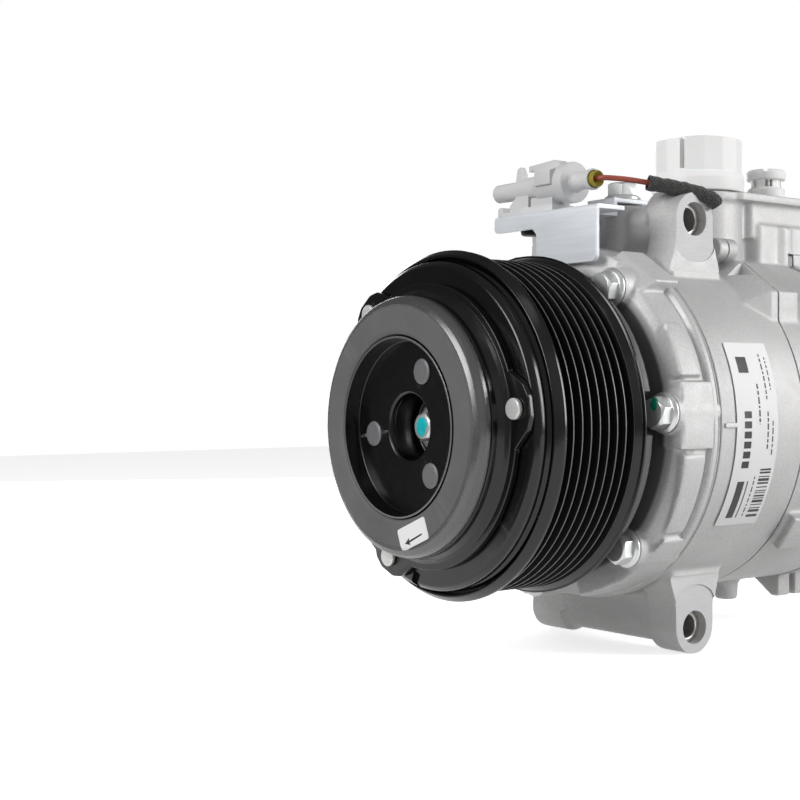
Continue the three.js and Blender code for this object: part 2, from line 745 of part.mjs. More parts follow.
// ---- assembly ----
place("pulley", pulley(), blackPaint());
place("pulley_bearing_outer", ring(24.6, BEARING_OUTER_R, 1, 19, MEDIUM), steel());
place("pulley_bearing_inner", ring(BEARING_INNER_R, 19.4, 1, 19, FINE), steel());
place("pulley_bearing_balls", bearingBalls(), steel());
place("pulley_snap_ring", ring(BEARING_OUTER_R - 2.2, BEARING_OUTER_R + 0.1, -1.6, 0.4, MEDIUM), steel());
place("field_coil", fieldCoil(), material(0x3a3b3d, 0.5, 0.4));
place("armature_plate", armaturePlate(), steel());
place("hub_plate", hubPlate(), blackPaint());
place("damper_ring", damperRing(), darkRubber());
place("clutch_cup", clutchCup(), blackPaint());
place("inner_hub", innerHub(), blackPaint());
place("hub_bolt", hubBolt(), zincSteel());
EAR_ANGLES.forEach((angle, i) => place(`ear_rivet_${i + 1}`, earRivet(angle), steel()));
cupAngles.forEach((angle, i) => place(`cup_rivet_${i + 1}`, cupRivet(angle), darkSteel()));
place("front_housing", frontHousing(), castAluminium());
place("main_housing", mainHousing(), castAluminium());
place("cylinder_block", cylinderBlock(), castAluminium());
place("valve_plate", valvePlate(), steel());
place("rear_housing", rearHousing(), castAluminium());
boltAngles.forEach((angle, i) => place(`through_bolt_${i + 1}`, throughBolt(angle), zincSteel()));
place("upper_mount_bush", mountBush(1), machinedAluminium());
place("lower_mount_bush", mountBush(-1), machinedAluminium());
place("drive_shaft", driveShaft(), steel());
place("shaft_seal", ring(SHAFT_R, 12.2, 10, 22, MEDIUM), darkRubber());
place("front_shaft_bearing", ring(SHAFT_R, 13.1, 37, 48, MEDIUM), steel());
place("rear_shaft_bearing", ring(SHAFT_R + GAP, 12.1, 110, 126, MEDIUM), steel());
place("rotor_thrust_bearing", ring(14, 22, 50.6, 52.7, MEDIUM), steel());
place("drive_rotor", driveRotor(), steel());
place("wobble_plate", wobblePlate(), machinedAluminium());
place("journal", journal(), steel());
place("guide_rod", guideRod(), steel());
place("return_spring", returnSpring(), steel());
boreAngles.forEach((angle, i) => place(`piston_${i + 1}`, piston(angle), machinedAluminium()));
place("connector_bracket", connectorBracket(), zincSteel());
place("bracket_bolt", bracketBolt(), zincSteel());
place("connector_body", connectorBody(), greyPlastic());
place("connector_seal", connectorSeal(), material(0x8a7a20, 0.6, 0));
place("lead_wire", leadWire(), material(0xa5553f, 0.5, 0));
place("lead_sleeve", leadSleeve(), material(0x2c2c2a, 0.9, 0));
place("large_port_cap", largeCap(), whitePlastic());
place("small_port_cap", smallCap(), whitePlastic());
place("control_valve", controlValve(), steel());
place("relief_valve", reliefValve(), material(0xb08d4a, 0.35, 0.9));

// The part stands with the middle of its box's base at the origin.
const extent = new THREE.Box3().setFromObject(assembly, true);
const centre = extent.getCenter(new THREE.Vector3());
assembly.position.set(-centre.x, -centre.y, -extent.min.z);

const compressor = new THREE.Group();
compressor.add(assembly);

export default compressor;
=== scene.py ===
import json
import math
import random

import bmesh
import bpy
from mathutils import Matrix, Vector


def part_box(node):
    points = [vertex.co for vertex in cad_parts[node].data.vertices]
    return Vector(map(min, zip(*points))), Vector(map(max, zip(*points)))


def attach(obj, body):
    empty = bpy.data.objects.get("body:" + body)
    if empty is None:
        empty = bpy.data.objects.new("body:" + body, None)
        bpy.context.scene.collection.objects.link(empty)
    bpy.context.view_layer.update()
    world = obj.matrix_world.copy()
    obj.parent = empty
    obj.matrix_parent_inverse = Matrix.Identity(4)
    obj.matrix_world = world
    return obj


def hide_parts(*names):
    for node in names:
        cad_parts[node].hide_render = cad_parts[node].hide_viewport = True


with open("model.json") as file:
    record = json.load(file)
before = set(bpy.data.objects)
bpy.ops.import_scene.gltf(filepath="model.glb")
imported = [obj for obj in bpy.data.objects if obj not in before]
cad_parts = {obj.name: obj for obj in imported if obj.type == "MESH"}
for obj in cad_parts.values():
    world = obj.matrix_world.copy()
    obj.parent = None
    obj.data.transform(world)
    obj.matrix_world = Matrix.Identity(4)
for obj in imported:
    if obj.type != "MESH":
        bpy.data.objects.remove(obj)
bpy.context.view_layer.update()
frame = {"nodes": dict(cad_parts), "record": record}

# Shapes are drawn in millimetres about the shaft axis, with y = 0 at the pulley's first belt ridge,
# then moved to the row frame.
PULLEY_LOW, PULLEY_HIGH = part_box("pulley")
FIRST_RIDGE = 0.0098  # metres behind the pulley's front
ORIGIN = (PULLEY_LOW + PULLEY_HIGH) / 2
ORIGIN.y = PULLEY_LOW.y + FIRST_RIDGE
TO_ROW = Matrix.Translation(ORIGIN) @ Matrix.Scale(0.001, 4)
TURN = 2 * math.pi
SCENE = bpy.context.scene
ROUND = 160

BOLT_ANGLES = [4.6 + i * 360 / 7 for i in range(7)]
BORE_ANGLES = [angle + 180 / 7 for angle in BOLT_ANGLES]
EAR_ANGLES = [7.5, 127.5, 247.5]
CUP_ANGLES = [angle + 60 for angle in EAR_ANGLES]
# Radii of the circles on which bolts, cylinder bores and rivets stand.
BOLT_CIRCLE = 53
BORE_CIRCLE = 38.5
EAR_CIRCLE = 45.6
CUP_CIRCLE = 18.6
# Stations along the shaft and the radius of the casing.
BODY_R = 59.4
FRONT_SEAM = 57
BLOCK_SEAM = 97.5
VALVE_SEAM = 139.3
HEAD_SEAM = 143.4
# Places of the mounting bosses, the ports, the connector and the valves.
BOSS_Y = 73
BOSS_Z = 67.9
LARGE_PORT_Y = 111
SMALL_PORT_Y = 149
CONNECTOR = (47, 81.2)
CONTROL_VALVE = (0, -24)
RELIEF_VALVE = (156, 18)
# The outline of the lug that runs over the seam between the main housing and the block.
LUG = [(16, 56.4), (33.2, 54.8), (45.8, 45.8), (48.3, 44), (48.3, 34.6), (40, 32)]


def polar(radius, degrees):
    a = math.radians(degrees)
    return radius * math.cos(a), radius * math.sin(a)


def add_node(tree, kind, inputs=None, **settings):
    """A shader node with its settings and inputs. An input that is a socket is linked."""
    made = tree.nodes.new(kind)
    for key, value in settings.items():
        setattr(made, key, value)
    for key, value in (inputs or {}).items():
        if isinstance(value, bpy.types.NodeSocket):
            tree.links.new(value, made.inputs[key])
        else:
            made.inputs[key].default_value = value
    return made


# ---------------------------------------------------------------- camera, floor, light
def make_camera():
    azimuth, elevation, roll = math.radians(51.62), math.radians(1.39), math.radians(-0.19)
    distance = 0.473
    level = math.cos(elevation)
    back = Vector((math.sin(azimuth) * level, -math.cos(azimuth) * level, math.sin(elevation)))
    right = Vector((math.cos(azimuth), math.sin(azimuth), 0))
    up = back.cross(right)
    turned_right = right * math.cos(roll) + up * math.sin(roll)
    turned_up = up * math.cos(roll) - right * math.sin(roll)
    data = bpy.data.cameras.new("camera")
    data.sensor_width = 36
    data.lens = 66.6
    data.shift_x = -0.0749
    data.shift_y = 0.0324
    data.clip_start = 0.01
    data.clip_end = 50
    camera = bpy.data.objects.new("camera", data)
    matrix = Matrix((turned_right, turned_up, back)).transposed().to_4x4()
    matrix.translation = ORIGIN + back * distance
    camera.matrix_world = matrix
    SCENE.collection.objects.link(camera)
    SCENE.camera = camera


def area_light(name, place, width, height, power):
    data = bpy.data.lights.new(name, "AREA")
    data.shape = "RECTANGLE"
    data.size = width
    data.size_y = height
    data.energy = power
    lamp = bpy.data.objects.new(name, data)
    lamp.location = place
    middle = Vector((0, 0, 0.08))
    lamp.rotation_euler = (middle - Vector(place)).to_track_quat("-Z", "Y").to_euler()
    lamp.visible_camera = False
    SCENE.collection.objects.link(lamp)


def make_studio():
    SCENE.view_settings.view_transform = "Standard"
    SCENE.view_settings.look = "None"
    world = bpy.data.worlds.new("studio")
    SCENE.world = world
    world.use_nodes = True
    tree = world.node_tree
    tree.nodes.clear()
    # The surroundings are white to the camera. As light they are brighter on the right.
    where = add_node(tree, "ShaderNodeTexCoord").outputs["Generated"]
    facing = add_node(
        tree, "ShaderNodeVectorMath", {0: where, 1: (0.34, -0.14, 0.13)}, operation="DOT_PRODUCT"
    ).outputs["Value"]
    level = add_node(tree, "ShaderNodeMath", {0: facing, 1: 0.5}, operation="ADD").outputs[0]
    ramp = add_node(tree, "ShaderNodeValToRGB", {"Fac": level})
    dark, bright = ramp.color_ramp.elements
    dark.position, dark.color = 0.42, (0.11, 0.11, 0.112, 1)
    bright.position, bright.color = 0.9, (0.44, 0.44, 0.45, 1)
    around = add_node(tree, "ShaderNodeBackground", {"Color": ramp.outputs["Color"]})
    seen = add_node(tree, "ShaderNodeBackground", {"Color": (1, 1, 1, 1)})
    camera_ray = add_node(tree, "ShaderNodeLightPath").outputs["Is Camera Ray"]
    mix = add_node(tree, "ShaderNodeMixShader", {"Fac": camera_ray, 1: around.outputs[0], 2: seen.outputs[0]})
    add_node(tree, "ShaderNodeOutputWorld", {"Surface": mix.outputs[0]})
    sun = bpy.data.lights.new("overhead", "SUN")
    sun.energy = 0.04
    sun.angle = math.radians(70)
    lamp = bpy.data.objects.new("overhead", sun)
    lamp.rotation_euler = Vector((-0.25, 0.15, -1)).to_track_quat("-Z", "Y").to_euler()
    SCENE.collection.objects.link(lamp)
    area_light("top_box", (0.27, -0.36, 0.92), 0.22, 0.28, 0.2)
    area_light("right_box", (0.75, 0.6, 0.38), 0.3, 0.6, 6.5)
    area_light("front_strip", (-0.1, -0.95, 0.5), 0.5, 0.5, 6.8)
    area_light("side_fill", (0.95, -0.3, 0.5), 0.8, 0.6, 0.3)
    area_light("back_fill", (-0.85, 0.45, 0.22), 0.7, 0.5, 3.6)


def make_floor():
    mesh = bpy.data.meshes.new("floor")
    edge = bmesh.new()
    for x, y in ((-1.6, -0.32), (0.75, -0.32), (0.75, 1.5), (-1.6, 1.5)):
        edge.verts.new((x, y, 0))
    edge.faces.new(edge.verts)
    edge.to_mesh(mesh)
    edge.free()
    floor = bpy.data.objects.new("floor", mesh)
    SCENE.collection.objects.link(floor)
    # Seen directly or mirrored it is white paper; as a source of bounced light it is dimmer.
    paint = bpy.data.materials.new("floor_paper")
    paint.use_nodes = True
    tree = paint.node_tree
    shader = tree.nodes["Principled BSDF"]
    shader.inputs["Base Color"].default_value = (0.94, 0.94, 0.94, 1)
    shader.inputs["Roughness"].default_value = 0.9
    shader.inputs["Specular IOR Level"].default_value = 0.1
    shader.inputs["Emission Color"].default_value = (1, 1, 1, 1)
    shader.inputs["Emission Strength"].default_value = 0.62
    dim = add_node(tree, "ShaderNodeBsdfDiffuse", {"Color": (0.25, 0.25, 0.25, 1)})
    bounced = add_node(tree, "ShaderNodeLightPath").outputs["Is Diffuse Ray"]
    mix = add_node(tree, "ShaderNodeMixShader", {"Fac": bounced, 1: shader.outputs[0], 2: dim.outputs[0]})
    tree.links.new(mix.outputs[0], tree.nodes["Material Output"].inputs["Surface"])
    mesh.materials.append(paint)


make_camera()
make_studio()
make_floor()


# ---------------------------------------------------------------- mesh tools (millimetres)
def to_object(name, bm):
    bmesh.ops.recalc_face_normals(bm, faces=bm.faces)
    mesh = bpy.data.meshes.new(name)
    bm.to_mesh(mesh)
    bm.free()
    obj = bpy.data.objects.new(name, mesh)
    SCENE.collection.objects.link(obj)
    return obj


def rounded(points, steps):
    """A closed outline of (u, v) or (u, v, corner radius) with its corners rounded."""
    out = []
    for i, p in enumerate(points):
        radius = p[2] if len(p) > 2 else 0
        here = Vector(p[:2])
        before = Vector(points[i - 1][:2]) - here
        after = Vector(points[(i + 1) % len(points)][:2]) - here
        if radius <= 0 or before.length < 1e-6 or after.length < 1e-6:
            out.append(tuple(here))
            continue
        half = before.angle(after) / 2
        if half > math.pi / 2 - 0.01 or half < 0.01:
            out.append(tuple(here))
            continue
        reach = min(radius / math.tan(half), 0.47 * before.length, 0.47 * after.length)
        radius = reach * math.tan(half)
        centre = here + (before.normalized() + after.normalized()).normalized() * (radius / math.sin(half))
        start = here + before.normalized() * reach - centre
        end = here + after.normalized() * reach - centre
        sweep = math.atan2(start.x * end.y - start.y * end.x, start.dot(end))
        for k in range(steps + 1):
            a = sweep * k / steps
            c, s = math.cos(a), math.sin(a)
            out.append((centre.x + c * start.x - s * start.y, centre.y + s * start.x + c * start.y))
    return out


def point_on(axis, station, u, v):
    """A point from its place along an axis and in the two other axes, in X, Y, Z order."""
    co = [u, v]
    co.insert("xyz".index(axis), station)
    return co


def spun(outline, axis="y", at=(0, 0), segments=ROUND, steps=5):
    """Turns a closed outline of (station, radius, corner radius) about an axis through (at)."""
    bm = bmesh.new()
    rings = []
    for station, radius in rounded(outline, steps):
        ring = []
        for k in range(1 if radius < 1e-5 else segments):
            a = TURN * k / segments
            u, v = at[0] + radius * math.cos(a), at[1] + radius * math.sin(a)
            ring.append(bm.verts.new(point_on(axis, station, u, v)))
        rings.append(ring)
    for i, ring in enumerate(rings):
        following = rings[(i + 1) % len(rings)]
        if len(ring) == 1 and len(following) == 1:
            continue
        for k in range(segments):
            m = (k + 1) % segments
            if len(ring) == 1:
                bm.faces.new((ring[0], following[k], following[m]))
            elif len(following) == 1:
                bm.faces.new((ring[k], following[0], ring[m]))
            else:
                bm.faces.new((ring[k], following[k], following[m], ring[m]))
    return to_object("solid", bm)


def rod(axis, radius, a, b, u, v, segments=48, edge=0.0):
    return spun([(a, 0), (a, radius, edge), (b, radius, edge), (b, 0)], axis, (u, v), segments, 3)


def slab(axis, outline, a, b, edge=0.0, corner=4):
    """Extrudes a closed outline (in the two other axes, X, Y, Z order), with its rims rounded."""
    bm = bmesh.new()
    face = bm.faces.new([bm.verts.new(point_on(axis, a, u, v)) for u, v in rounded(outline, corner)])
    made = bmesh.ops.extrude_face_region(bm, geom=[face])
    far = [g for g in made["geom"] if isinstance(g, bmesh.types.BMVert)]
    bmesh.ops.translate(bm, verts=far, vec=Vector(point_on(axis, b - a, 0, 0)))
    if edge > 0:
        caps = sorted(bm.faces, key=lambda f: -len(f.verts))[:2]
        rims = list({e for f in caps for e in f.edges})
        rim = {"offset": edge, "segments": 3, "profile": 0.5, "affect": "EDGES", "clamp_overlap": True}
        bmesh.ops.bevel(bm, geom=rims, **rim)
    return to_object("solid", bm)


def block(x0, x1, y0, y1, z0, z1, edge=0.0):
    solid = slab("z", [(x0, y0), (x1, y0), (x1, y1), (x0, y1)], z0, z1)
    if edge > 0:
        bm = bmesh.new()
        bm.from_mesh(solid.data)
        bmesh.ops.bevel(bm, geom=list(bm.edges), offset=edge, segments=3, profile=0.5, affect="EDGES")
        bm.to_mesh(solid.data)
        bm.free()
    return solid


def wedge(points_a, points_b):
    """A closed loft between two outlines of 3-D points."""
    bm = bmesh.new()
    a = [bm.verts.new(p) for p in points_a]
    b = [bm.verts.new(p) for p in points_b]
    bm.faces.new(a)
    bm.faces.new(b)
    for i in range(len(a)):
        m = (i + 1) % len(a)
        bm.faces.new((a[i], a[m], b[m], b[i]))
    return to_object("solid", bm)


def turned_to(solid, degrees):
    """Turns a solid about the shaft axis, from +X towards +Z."""
    solid.data.transform(Matrix.Rotation(math.radians(-degrees), 4, "Y"))
    return solid


def evaluated(obj):
    mesh = bpy.data.meshes.new_from_object(obj.evaluated_get(bpy.context.evaluated_depsgraph_get()))
    old = obj.data
    obj.modifiers.clear()
    obj.data = mesh
    bpy.data.meshes.remove(old)
    return obj


def discard(*solids):
    for solid in solids:
        mesh = solid.data
        bpy.data.objects.remove(solid)
        bpy.data.meshes.remove(mesh)


def merged(solids):
    """One mesh that holds several shells, as they are."""
    bm = bmesh.new()
    for solid in solids:
        bm.from_mesh(solid.data)
    first = solids[0]
    bm.to_mesh(first.data)
    bm.free()
    discard(*solids[1:])
    return first


def combine(solid, tools, operation):
    for tool in tools:
        step = solid.modifiers.new("step", "BOOLEAN")
        step.operation = operation
        step.solver = "MANIFOLD"
        step.object = tool
        evaluated(solid)
    discard(*tools)
    return solid


def less(solid, *tools):
    return combine(solid, tools, "DIFFERENCE")


def plus(solid, *tools):
    return combine(solid, tools, "UNION")


def common(solid, *tools):
    return combine(solid, tools, "INTERSECT")


def drilled(solid, radius, low, high, circle, angles, segments=32, edge=0.0):
    """Drills a hole along the shaft at each angle on a circle."""
    for angle in angles:
        less(solid, rod("y", radius, low, high, *polar(circle, angle), segments=segments, edge=edge))


def bent_sheet(outline, cells, low, high, bent, corner):
    """A thin sheet, cut into cells along u and v and bent: bent(u, v, lift) gives the place of a point."""
    flat = slab("z", outline, 0, 1, corner=corner)
    bm = bmesh.new()
    bm.from_mesh(flat.data)
    discard(flat)
    for axis, count in enumerate(cells):
        stations = [p[axis] for p in outline]
        start, length = min(stations), max(stations) - min(stations)
        normal = Vector((axis == 0, axis == 1, 0))
        for k in range(1, count):
            geometry = bm.verts[:] + bm.edges[:] + bm.faces[:]
            place = normal * (start + length * k / count)
            bmesh.ops.bisect_plane(bm, geom=geometry, plane_co=place, plane_no=normal)
    for vert in bm.verts:
        vert.co = bent(vert.co.x, vert.co.y, high if vert.co.z > 0.5 else low)
    return to_object("solid", bm)


def painted(solid, looks, choice):
    """Gives a solid several materials. choice(face) says which of them a face has."""
    solid.data.materials.clear()
    for look in looks:
        solid.data.materials.append(look)
    for face in solid.data.polygons:
        face.material_index = choice(face)
    return solid


def from_axis(face):
    """How far a face is from the shaft axis."""
    return math.hypot(face.center.x, face.center.z)


def cast(solids, voxel):
    """Melts overlapping solids into one skin with the soft inner corners of a casting."""
    whole = merged(solids)
    skin = whole.modifiers.new("skin", "REMESH")
    skin.mode = "VOXEL"
    skin.voxel_size = voxel
    evaluated(whole)
    soften = whole.modifiers.new("soften", "SMOOTH")
    soften.factor = 0.5
    soften.iterations = 4
    return evaluated(whole)


def curve_through(points, count):
    """Evenly counted points on a smooth curve through the given ones."""
    pts = [Vector(p) for p in points]
    pts = [pts[0] * 2 - pts[1]] + pts + [pts[-1] * 2 - pts[-2]]
    spans = len(pts) - 3
    out = []
    for i in range(count + 1):
        t = spans * i / count
        k = min(int(t), spans - 1)
        t -= k
        a, b, c, d = pts[k : k + 4]
        square, cube = 2 * a - 5 * b + 4 * c - d, 3 * b - a - 3 * c + d
        out.append(0.5 * (2 * b + (c - a) * t + square * t * t + cube * t**3))
    return out


def swept(path, radius_at, sides, mouth=0.0, wall=0.0):
    """A tube on a path, with UVs: u along, v round. radius_at(t, angle) gives its radius.

    A mouth is the depth of the open end at the start, and wall its thickness there.
    """
    count = len(path)
    tangents = [(path[min(i + 1, count - 1)] - path[max(i - 1, 0)]).normalized() for i in range(count)]
    normal = tangents[0].orthogonal().normalized()
    bm = bmesh.new()
    uv = bm.loops.layers.uv.new("UVMap")
    length = [0]
    for i in range(1, count):
        length.append(length[-1] + (path[i] - path[i - 1]).length)
    frames = []
    for i in range(count):
        normal = (normal - tangents[i] * normal.dot(tangents[i])).normalized()
        frames.append((path[i], normal.copy(), tangents[i].cross(normal)))

    def ring(i, shrink):
        centre, n, b = frames[i]
        t = length[i] / length[-1]
        made = []
        for k in range(sides):
            a = TURN * k / sides
            outward = n * math.cos(a) + b * math.sin(a)
            made.append(bm.verts.new(centre + outward * (radius_at(t, a) - shrink)))
        return made, length[i]

    rings = []
    if mouth > 0:
        inner = [i for i in range(count) if length[i] <= mouth]
        rings += [ring(i, wall) for i in reversed(inner)]
    rings += [ring(i, 0) for i in range(count)]
    for (low, at_low), (high, at_high) in zip(rings, rings[1:]):
        for k in range(sides):
            m = (k + 1) % sides
            face = bm.faces.new((low[k], low[m], high[m], high[k]))
            for loop, u, v in zip(face.loops, (at_low, at_low, at_high, at_high), (k, k + 1, k + 1, k)):
                loop[uv].uv = (u, v / sides)
    bm.faces.new(rings[0][0])
    bm.faces.new(rings[-1][0])
    return to_object("solid", bm)


def piece(name, solid, body, looks, replaces=(), sharp=32):
    """Moves a finished solid to the row frame as a named piece that rides on a body."""
    solid.name = name
    solid.data.name = name
    solid.data.transform(TO_ROW)
    solid.data.polygons.foreach_set("use_smooth", [True] * len(solid.data.polygons))
    solid.data.set_sharp_from_angle(angle=math.radians(sharp))
    if looks:
        solid.data.materials.clear()
    for look in looks:
        solid.data.materials.append(look)
    solid.data.update()
    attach(solid, body)
    if replaces:
        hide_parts(*replaces)


# ---------------------------------------------------------------- materials
class Look:
    """A material under construction: one Principled shader and the nodes that feed it."""

    def __init__(self, name, coords="Object"):
        self.material = bpy.data.materials.new(name)
        self.material.use_nodes = True
        self.tree = self.material.node_tree
        self.shader = self.tree.nodes["Principled BSDF"]
        self.coords = self.node("ShaderNodeTexCoord").outputs[coords]

    def node(self, kind, inputs=None, **settings):
        return add_node(self.tree, kind, inputs, **settings)

    def noise(self, scale, detail, rough=0.5, stretch=None):
        source = self.coords
        if stretch:
            source = self.node("ShaderNodeMapping", {"Vector": source, "Scale": stretch}).outputs[0]
        inputs = {"Vector": source, "Scale": scale, "Detail": detail, "Roughness": rough}
        return self.node("ShaderNodeTexNoise", inputs).outputs["Fac"]

    def spread(self, value, low, high, start=0.3, end=0.7):
        inputs = {"Value": value, "From Min": start, "From Max": end, "To Min": low, "To Max": high}
        return self.node("ShaderNodeMapRange", inputs).outputs[0]

    def blend(self, factor, a, b):
        mix = self.node("ShaderNodeMix", {0: factor}, data_type="RGBA")
        for k, colour in ((6, a), (7, b)):
            if isinstance(colour, bpy.types.NodeSocket):
                self.tree.links.new(colour, mix.inputs[k])
            else:
                mix.inputs[k].default_value = (*colour, 1)
        return mix.outputs[2]

    def feed(self, socket, value):
        if isinstance(value, bpy.types.NodeSocket):
            self.tree.links.new(value, self.shader.inputs[socket])
        else:
            self.shader.inputs[socket].default_value = (*value, 1) if isinstance(value, tuple) else value

    def bump(self, *layers):
        """Layers of (height, strength, distance in metres), each on top of the one before."""
        normal = None
        for height, strength, distance in layers:
            inputs = {"Height": height, "Strength": strength, "Distance": distance}
            if normal:
                inputs["Normal"] = normal
            normal = self.node("ShaderNodeBump", inputs).outputs[0]
        self.tree.links.new(normal, self.shader.inputs["Normal"])

    def edges(self, start, end):
        """1 along outer edges, 0 elsewhere."""
        geometry = self.node("ShaderNodeNewGeometry")
        return self.spread(geometry.outputs["Pointiness"], 0, 1, start, end)


def times(look, a, b):
    return look.node("ShaderNodeMath", {0: a, 1: b}, operation="MULTIPLY").outputs[0]


def added(look, a, b):
    return look.node("ShaderNodeMath", {0: a, 1: b}, operation="ADD").outputs[0]


def recess_shade_share(look, inner, outer):
    """Share of painted shade behind the pulley: 1 close to the shaft axis, 0 beyond the outer radius and low
    on the casing. Radii in metres.
    """
    apart = look.node("ShaderNodeSeparateXYZ", {"Vector": look.coords})
    middle = tuple(ORIGIN)
    level = look.node("ShaderNodeVectorMath", {0: look.coords, 1: middle}, operation="SUBTRACT").outputs[0]
    radial = look.node("ShaderNodeVectorMath", {0: level, 1: (1, 0, 1)}, operation="MULTIPLY").outputs[0]
    radius = look.node("ShaderNodeVectorMath", {0: radial}, operation="LENGTH").outputs["Value"]
    # the band of painted shade reaches further out towards the clutch
    leaning = added(look, radius, times(look, added(look, apart.outputs["Y"], 0.049), 0.25))
    near = look.spread(leaning, 1, 0, inner, outer)
    high = look.spread(apart.outputs["Z"], 0, 1, ORIGIN.z - 0.052, ORIGIN.z - 0.044)
    return times(look, near, high)


def cast_metal(name, dark, light, metallic, rough=(0.42, 0.6), grain=0.35, recess_shade=None):
    look = Look(name)
    patches = look.spread(look.noise(28, 4, 0.6), 0, 1, 0.35, 0.68)
    speckle = look.spread(look.noise(1500, 2, 0.6), 0, 1, 0.4, 0.62)
    base = look.blend(patches, dark, light)
    flecked = look.blend(times(look, speckle, 0.35), base, tuple(min(1, 1.22 * c) for c in light))
    worn = times(look, look.edges(0.52, 0.58), 0.3)
    finish = look.blend(worn, flecked, (0.86, 0.86, 0.85))
    # Painted shade: with a recess band given, the colour goes to dark grey near the shaft axis, where shade
    # falls behind the pulley.
    if recess_shade:
        finish = look.blend(recess_shade_share(look, *recess_shade), finish, (0.13, 0.13, 0.13))
    look.feed("Base Color", finish)
    look.feed("Metallic", metallic)
    look.feed("Roughness", look.spread(look.noise(220, 4, 0.7), rough[0], rough[1]))
    look.bump((look.noise(60, 3, 0.6), 0.25, 0.0006), (look.noise(1100, 3, 0.75), grain, 0.00012))
    return look.material


def machined(name, colour, metallic, rough, stretch=(1, 1, 1), scale=900, depth=0.14):
    look = Look(name)
    marks = look.noise(scale, 2, 0.5, stretch)
    tint = look.blend(look.spread(marks, 0, 1), tuple(0.9 * c for c in colour), colour)
    look.feed("Base Color", tint)
    look.feed("Metallic", metallic)
    look.feed("Roughness", look.spread(look.noise(140, 3), rough[0], rough[1]))
    look.bump((marks, depth, 0.00006))
    return look.material


def gloss_paint(
    name, colour, rough, peel=0.16, edge=(0.26, 0.26, 0.26), edge_share=0.8, specular=0.42,
):
    look = Look(name)
    dust = look.spread(look.noise(90, 5, 0.7), 0, 1, 0.45, 0.8)
    base = look.blend(times(look, dust, 0.2), colour, tuple(1.6 * c + 0.003 for c in colour))
    outer = look.edges(0.54, 0.62)
    chips = times(look, outer, look.spread(look.noise(1300, 3, 0.7), 0, edge_share, 0.4, 0.62))
    look.feed("Base Color", look.blend(chips, base, edge))
    look.feed("Roughness", look.spread(look.noise(300, 4, 0.7), rough[0], rough[1]))
    look.feed("Specular IOR Level", specular)
    look.bump((look.noise(420, 2, 0.5), peel, 0.00008), (look.noise(2600, 2, 0.6), 0.1, 0.00003))
    return look.material


def moulded(name, dark, light, rough, subsurface=0.0, grain=0.06, specular=0.4):
    look = Look(name)
    base = look.blend(look.spread(look.noise(45, 3), 0, 1), dark, light)
    worn = times(look, look.edges(0.53, 0.6), 0.4)
    look.feed("Base Color", look.blend(worn, base, tuple(min(1, 1.15 * c) for c in light)))
    look.feed("Roughness", look.spread(look.noise(260, 3), rough[0], rough[1]))
    look.feed("Subsurface Weight", subsurface)
    look.feed("Subsurface Scale", 0.002)
    look.feed("Specular IOR Level", specular)
    look.bump((look.noise(1500, 2, 0.6), grain, 0.00005))
    return look.material


def woven(name):
    look = Look(name, "UV")
    apart = look.node("ShaderNodeSeparateXYZ", {"Vector": look.coords})

    def strands(sign):
        round_ = times(look, apart.outputs["Y"], 14 * sign)
        along = times(look, apart.outputs["X"], 0.75)
        phase = times(look, added(look, round_, along), TURN)
        return look.node("ShaderNodeMath", {0: phase}, operation="SINE").outputs[0]

    over = look.node("ShaderNodeMath", {0: strands(1), 1: strands(-1)}, operation="MAXIMUM").outputs[0]
    fibre = look.noise(30, 4, 0.7)
    lift = look.spread(over, 0, 1, -0.2, 1)
    shade = look.blend(lift, (0.006, 0.006, 0.006), (0.045, 0.044, 0.04))
    threads = times(look, look.spread(fibre, 0, 1, 0.55, 0.75), lift)
    look.feed("Base Color", look.blend(times(look, threads, 0.6), shade, (0.22, 0.21, 0.19)))
    look.feed("Roughness", look.spread(fibre, 0.6, 0.85))
    look.feed("Sheen Weight", 0.25)
    look.bump((over, 0.8, 0.0003))
    return look.material


CAST = cast_metal("cast_aluminium", (0.475, 0.47, 0.465), (0.55, 0.545, 0.54), 0.3, (0.48, 0.62))
# The front housing's cast look carries painted shade: dark grey in the recess behind the pulley.
FRONT_CAST_SHADED = cast_metal(
    "front_cast_painted_shade", (0.52, 0.515, 0.51), (0.6, 0.595, 0.59), 0.3, (0.48, 0.62), 0.35, (0.053, 0.0542),
)
MILLED = machined("milled_face", (0.74, 0.74, 0.745), 0, (0.62, 0.74), (1, 0.25, 6), 500, 0.05)
BORED = machined("bored_steel", (0.55, 0.54, 0.52), 0.85, (0.26, 0.4), (12, 1, 1), 400)
PAINT = gloss_paint("black_paint", (0.0025, 0.0025, 0.003), (0.17, 0.27))
PULLEY_PAINT = gloss_paint(
    "pulley_paint", (0.0025, 0.0025, 0.003), (0.13, 0.22), 0.06, (0.2, 0.19, 0.175), 0.3,
)
CREST = machined("ridge_crest", (0.12, 0.12, 0.108), 0.3, (0.36, 0.48), (1, 12, 1), 300)
GROOVE = gloss_paint(
    "groove_paint", (0.0012, 0.0012, 0.0013), (0.5, 0.62), 0.06, (0.004, 0.004, 0.004), 0.2, 0.08,
)
RUBBER = moulded("damper_rubber", (0.1, 0.1, 0.102), (0.132, 0.132, 0.134), (0.6, 0.76), 0, 0.35)
